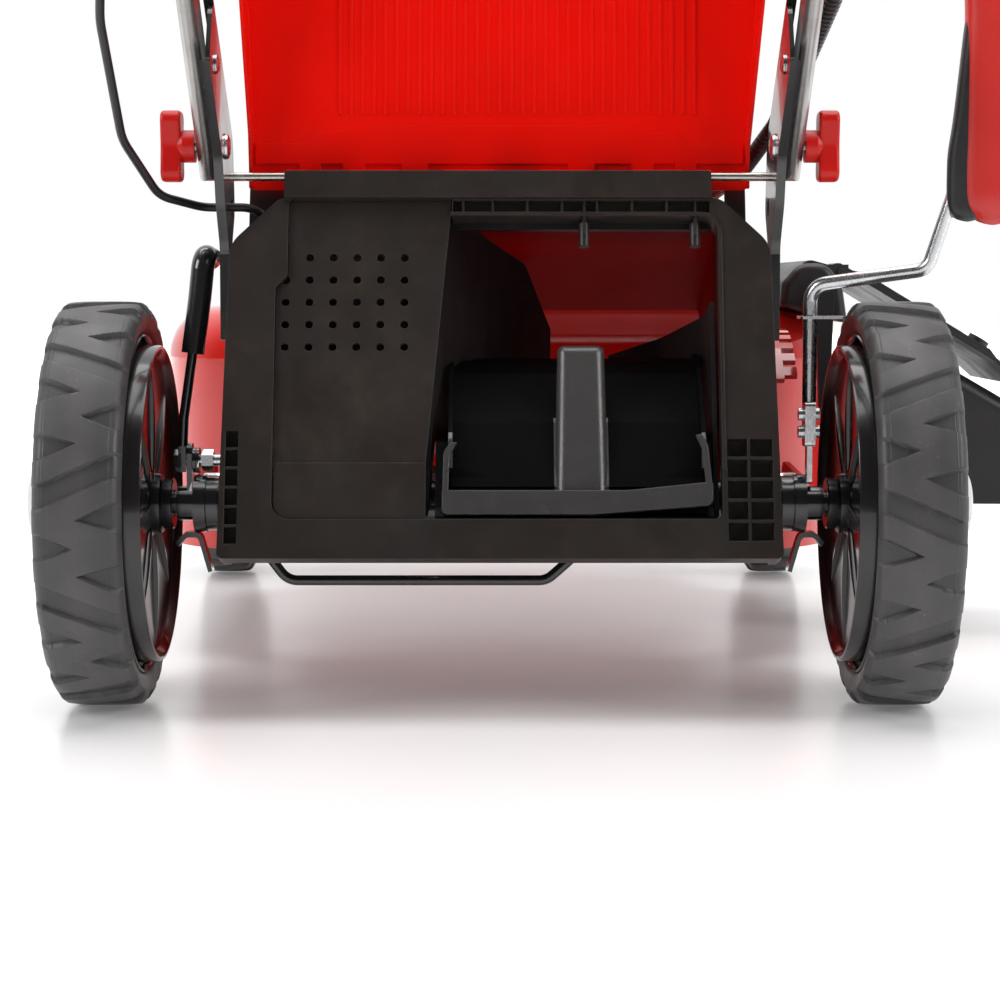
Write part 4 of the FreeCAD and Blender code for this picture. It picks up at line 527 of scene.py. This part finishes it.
def rim(name, node, body, side):
    """A rim with its hub and radial ribs on the inner face, and a silver cap on the outer one."""
    low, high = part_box(node)
    tyre_low, tyre_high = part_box(node.replace("rim", "tyre"))
    centre = [(tyre_low[0] + tyre_high[0]) / 2, (low[1] + high[1]) / 2, (low[2] + high[2]) / 2]
    half = (tyre_high[0] - tyre_low[0]) / 2
    bead = bead_of((tyre_high[2] - tyre_low[2]) / 2)
    inner = -(half + 0.0012)
    hub_end = low[0] - centre[0] if side > 0 else centre[0] - high[0]
    lip = bead - 0.0080
    profile = [
        (0.0095, hub_end), (0.0170, hub_end), (0.0178, hub_end + 0.0008), (0.0180, hub_end + 0.007),
        (0.0205, hub_end + 0.0085), (0.0210, inner - 0.0016), (0.0240, inner - 0.0005), (0.030, inner),
        (lip - 0.0052, inner - 0.0006), (lip - 0.0042, inner - 0.0020), (lip - 0.0032, inner - 0.0062),
        (lip - 0.0018, inner - 0.0076), (lip, inner - 0.0074), (lip + 0.0008, inner - 0.0060),
        (lip + 0.0010, -half + 0.0080), (lip + 0.0012, -half + 0.0150), (bead - 0.0026, -half + 0.0152),
        (bead - 0.0020, -half + 0.0080), (bead - 0.0018, -half + 0.0040), (bead - 0.0006, -half + 0.0022),
        (bead + 0.0004, -half + 0.0030), (bead + 0.0002, -half + 0.0066), (bead, half - 0.0066),
        (bead - 0.0020, half - 0.0050), (bead - 0.0050, half - 0.0060), (bead - 0.0075, half - 0.0150),
        (bead - 0.0110, half - 0.0230), (bead * 0.62, half - 0.0105), (bead * 0.50, half - 0.0090),
        (bead * 0.44, half - 0.0125), (0.0095, half - 0.0130),
    ]
    points = turned(profile, centre, side, RIM_COLUMNS)
    faces = ring_faces(len(profile), RIM_COLUMNS, True)
    for k in range(SPOKES):
        add_spoke(points, faces, centre, side, math.radians(93.0 + 360.0 / SPOKES * k), lip - 0.0075, inner)
    item = piece(name, points, faces, RIM_BLACK, body, 40.0)
    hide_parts(node)
    hub_cap(name + "_cap", centre, side, bead * 0.42, half, body)


def add_spoke(points, faces, centre, side, turn, end, inner):
    """Adds a raised rib at an angle, from the hub out to the radius end, on the face at x = inner."""
    along = (math.cos(turn), math.sin(turn))
    sideways = (-along[1], along[0])
    first = len(points)
    count = len(SPOKE_SECTION)
    for s in range(SPOKE_STEPS + 1):
        share = s / SPOKE_STEPS
        r = SPOKE_START + (end - SPOKE_START) * share
        swell = math.sin(math.pi * min(1.0, 0.12 + 0.88 * share)) ** 0.6 if s < SPOKE_STEPS else 0.0
        for across, up in SPOKE_SECTION:
            offset = across * SPOKE_HALF_WIDTH * swell
            points.append((centre[0] + side * (inner - SPOKE_HEIGHT * swell * up),
                           centre[1] + r * along[0] + offset * sideways[0],
                           centre[2] + r * along[1] + offset * sideways[1]))
    for s in range(SPOKE_STEPS):
        for a in range(count - 1):
            p = first + s * count + a
            faces.append((p, p + 1, p + count + 1, p + count))


def hub_cap(name, centre, side, radius, half, body):
    """The silver cap: a dish with a stepped cone, turned."""
    profile = [
        (radius - 0.002, half - 0.0118), (radius, half - 0.0105), (radius, half - 0.0020),
        (radius * 0.97, half + 0.0010), (radius * 0.88, half + 0.0046), (radius * 0.78, half + 0.0088),
        (radius * 0.68, half + 0.0124), (radius * 0.56, half + 0.0182), (radius * 0.45, half + 0.0226),
        (radius * 0.38, half + 0.0242), (radius * 0.33, half + 0.0249), (radius * 0.28, half + 0.0242),
        (radius * 0.10, half + 0.0238), (0.0002, half + 0.0238),
    ]
    points = turned(profile, centre, side, CAP_COLUMNS)
    cap = piece(name, points, ring_faces(len(profile), CAP_COLUMNS, False), CAP_SILVER, body, 30.0)


TREAD_PHASE = {
    ("rear", "left"): 10.7, ("rear", "right"): 1.0,
    ("front", "left"): 5.0, ("front", "right"): 20.0,
}
TREAD_GRID = {"rear": (1200, 33), "front": (800, 21)}

for end in ("rear", "front"):
    for label, sign in (("right", 1), ("left", -1)):
        wheel = "%s_wheel_%s" % (end, label)
        tyre("%s_tread_%s" % (end, label), "%s_tyre_%s" % (end, label), wheel, sign,
             TREAD_PHASE[end, label], *TREAD_GRID[end])
        rim("%s_disc_%s" % (end, label), "%s_rim_%s" % (end, label), wheel, sign)


# Height lever's grip


def loft(name, sections, finish, body):
    """A closed smooth form through rings of points, capped at both ends."""
    count = len(sections[0])
    points = [p for ring in sections for p in ring]
    faces = ring_faces(len(sections), count, False)
    faces.append(tuple(range(count)))
    faces.append(tuple(range((len(sections) - 1) * count, len(sections) * count)))
    item = piece(name, points, faces, finish, body, 60.0)
    smooth = item.modifiers.new("smooth", "SUBSURF")
    smooth.levels = 1
    smooth.render_levels = 1
    return item


def between(table, share):
    """The value at share in a table of (share, value) rows."""
    for (a, first), (b, second) in zip(table, table[1:]):
        if share <= b:
            return first + (second - first) * (share - a) / (b - a)
    return table[-1][1]


GRIP_STEPS = 26
GRIP_COLUMNS = 20
GRIP_SQUARENESS = 0.7


def squared(value):
    """A cosine or sine drawn out, so that a round section gets flatter sides."""
    return math.copysign(abs(value) ** GRIP_SQUARENESS, value)


def grip():
    """A red palm rest round the back of a black body, which ends in a web at the rod.
    The tables are shares of the CAD box."""
    low, high = (Vector(corner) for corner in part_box("height_lever_grip"))
    size = high - low
    middle_y = (low.y + high.y) / 2

    def rings(left, right, depth, start, end, round_end):
        sections = []
        for step in range(GRIP_STEPS + 1):
            share = 0.5 - 0.5 * math.cos(math.pi * step / GRIP_STEPS)
            to_end = min(1.0, min(share, 1.0 - share) / round_end)
            fullness = max(0.05, (1.0 - (1.0 - to_end) ** 2.2) ** 0.5)
            x0 = low.x + size.x * between(left, share)
            x1 = low.x + size.x * between(right, share)
            middle_x = (x0 + x1) / 2
            half_x = (x1 - x0) / 2 * fullness
            half_y = size.y / 2 * between(depth, share) * fullness
            ring = []
            for k in range(GRIP_COLUMNS):
                angle = 2 * math.pi * k / GRIP_COLUMNS
                ring.append((middle_x + half_x * squared(math.cos(angle)),
                             middle_y + half_y * squared(math.sin(angle)),
                             low.z + size.z * (start + (end - start) * share)))
            sections.append(ring)
        return sections

    shell = loft("lever_grip_shell", rings(
        [(0, 0.20), (0.2, 0.17), (0.6, 0.20), (0.82, 0.20), (0.9, 0.14), (1, 0.14)],
        [(0, 1.0), (0.7, 1.0), (1, 0.92)],
        [(0, 1.0), (1, 0.95)], 0.0, 1.0, 0.10),
        GRIP_RED, "rear_carriage")
    core = loft("lever_grip_core", rings(
        [(0, 0.10), (0.04, 0.02), (0.10, 0.0), (0.26, 0.0),
         (0.40, 0.07), (0.75, 0.19), (0.95, 0.28), (1, 0.36)],
        [(0, 0.45), (0.5, 0.60), (1, 0.50)],
        [(0, 0.62), (0.3, 0.66), (1, 0.60)], 0.012, 0.94, 0.03),
        ENGINE_BLACK, "rear_carriage")
    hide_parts("height_lever_grip")


grip()


# Cables and belt

LONGEST_EDGE = 0.012
SPLIT_ROUNDS = 5


def bending(node):
    """A cable or belt that crosses a joint: a copy of the CAD shape with short edges, shown in its place."""
    shape = bmesh.new()
    shape.from_mesh(NODES[node].data)
    for _ in range(SPLIT_ROUNDS):
        long_edges = [edge for edge in shape.edges if edge.calc_length() > LONGEST_EDGE]
        if long_edges:
            bmesh.ops.subdivide_edges(shape, edges=long_edges, cuts=1, use_grid_fill=True)
            bmesh.ops.triangulate(shape, faces=[face for face in shape.faces if len(face.verts) > 4])
    mesh = bpy.data.meshes.new(node + "_bending")
    shape.to_mesh(mesh)
    shape.free()
    mesh.materials.append(FINISHES[node])
    mesh.shade_smooth()
    mesh.set_sharp_from_angle(angle=math.radians(35.0))
    item = bpy.data.objects.new(node + "_bending", mesh)
    bpy.context.scene.collection.objects.link(item)
    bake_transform(item)
    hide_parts(node)


bending("drive_cable_lower")
bending("brake_cable_conduit")
bending("drive_belt")


# Camera, light and floor

CAMERA_PLACE = (0.0, -1.70, 0.290)
CAMERA_DOWN = 4.97
FLOOR_HEIGHT = -0.0008
FLOOR_CORNERS = ((-9, -5), (9, -5), (9, 14), (-9, 14))

camera_data = bpy.data.cameras.new("camera")
camera = bpy.data.objects.new("camera", camera_data)
bpy.context.scene.collection.objects.link(camera)
camera.location = CAMERA_PLACE
camera_data.sensor_width = 36.0
camera_data.lens = 88.2
camera.rotation_euler = (math.radians(90.0 - CAMERA_DOWN), 0.0, 0.0)
bpy.context.scene.camera = camera


def floor_white():
    """White floor that glows with distance, so that it runs into the backdrop."""
    n = Nodes("floor_white")
    n.shader.inputs["Base Color"].default_value = (0.93, 0.925, 0.925, 1)
    n.put(n.shader.inputs["Roughness"], n.span(n.noise(3.0), 0.3, 0.7, 0.20, 0.24))
    n.shader.inputs["Emission Color"].default_value = (1.0, 0.985, 0.985, 1)
    distance = n.add("ShaderNodeVectorMath", operation="LENGTH")
    n.put(distance.inputs[0], n.place)
    n.put(n.shader.inputs["Emission Strength"], n.span(distance.outputs["Value"], 1.3, 2.6, 0.11, 0.9))
    return n.material


floor_mesh = bpy.data.meshes.new("floor")
floor_mesh.from_pydata([(x, y, FLOOR_HEIGHT) for x, y in FLOOR_CORNERS], [], [(0, 1, 2, 3)])
floor_mesh.materials.append(floor_white())
floor = bpy.data.objects.new("floor", floor_mesh)
bpy.context.scene.collection.objects.link(floor)


def softbox(name, place, target, width, height, power):
    """A rectangular area light at place that faces target."""
    light = bpy.data.lights.new(name, "AREA")
    light.shape = "RECTANGLE"
    light.size = width
    light.size_y = height
    light.energy = power
    item = bpy.data.objects.new(name, light)
    item.location = place
    item.rotation_euler = (Vector(target) - Vector(place)).to_track_quat("-Z", "Y").to_euler()
    bpy.context.scene.collection.objects.link(item)


softbox("key_left", (-2.6, -1.4, 1.8), (0, 0.1, 0.35), 1.4, 1.6, 50)
softbox("key_right", (2.6, -1.4, 1.7), (0, 0.1, 0.35), 1.4, 1.6, 46)
softbox("top", (0.0, 0.3, 2.4), (0, 0.3, 0), 2.6, 2.2, 46)

def studio_world():
    """A white sweep ahead and overhead, dark behind the camera; the backdrop itself shows white."""
    world = bpy.data.worlds.new("studio")
    world.use_nodes = True
    sky = world.node_tree
    direction = sky.nodes.new("ShaderNodeTexCoord")
    parts = []
    for toward, low, high, dark, bright in (((0.0, 1.0, 0.0), -0.25, 0.5, 0.09, 0.95),
                                            ((0.0, 0.3, 1.0), 0.6, 1.0, 0.0, 1.0)):
        height = sky.nodes.new("ShaderNodeVectorMath")
        height.operation = "DOT_PRODUCT"
        sky.links.new(direction.outputs["Generated"], height.inputs[0])
        height.inputs[1].default_value = toward
        part = sky.nodes.new("ShaderNodeMapRange")
        part.interpolation_type = "SMOOTHSTEP"
        sky.links.new(height.outputs["Value"], part.inputs["Value"])
        for name, number in (("From Min", low), ("From Max", high), ("To Min", dark), ("To Max", bright)):
            part.inputs[name].default_value = number
        parts.append(part.outputs["Result"])
    brighter = sky.nodes.new("ShaderNodeMath")
    brighter.operation = "MAXIMUM"
    sky.links.new(parts[0], brighter.inputs[0])
    sky.links.new(parts[1], brighter.inputs[1])
    seen = sky.nodes.new("ShaderNodeLightPath")
    strength = sky.nodes.new("ShaderNodeMix")
    sky.links.new(seen.outputs["Is Camera Ray"], strength.inputs["Factor"])
    sky.links.new(brighter.outputs[0], strength.inputs["A"])
    strength.inputs["B"].default_value = 1.0
    sky.links.new(strength.outputs["Result"], sky.nodes["Background"].inputs["Strength"])
    sky.nodes["Background"].inputs["Color"].default_value = (1.0, 1.0, 1.0, 1)
    return world


bpy.context.scene.world = studio_world()
bpy.context.scene.view_settings.view_transform = "Standard"
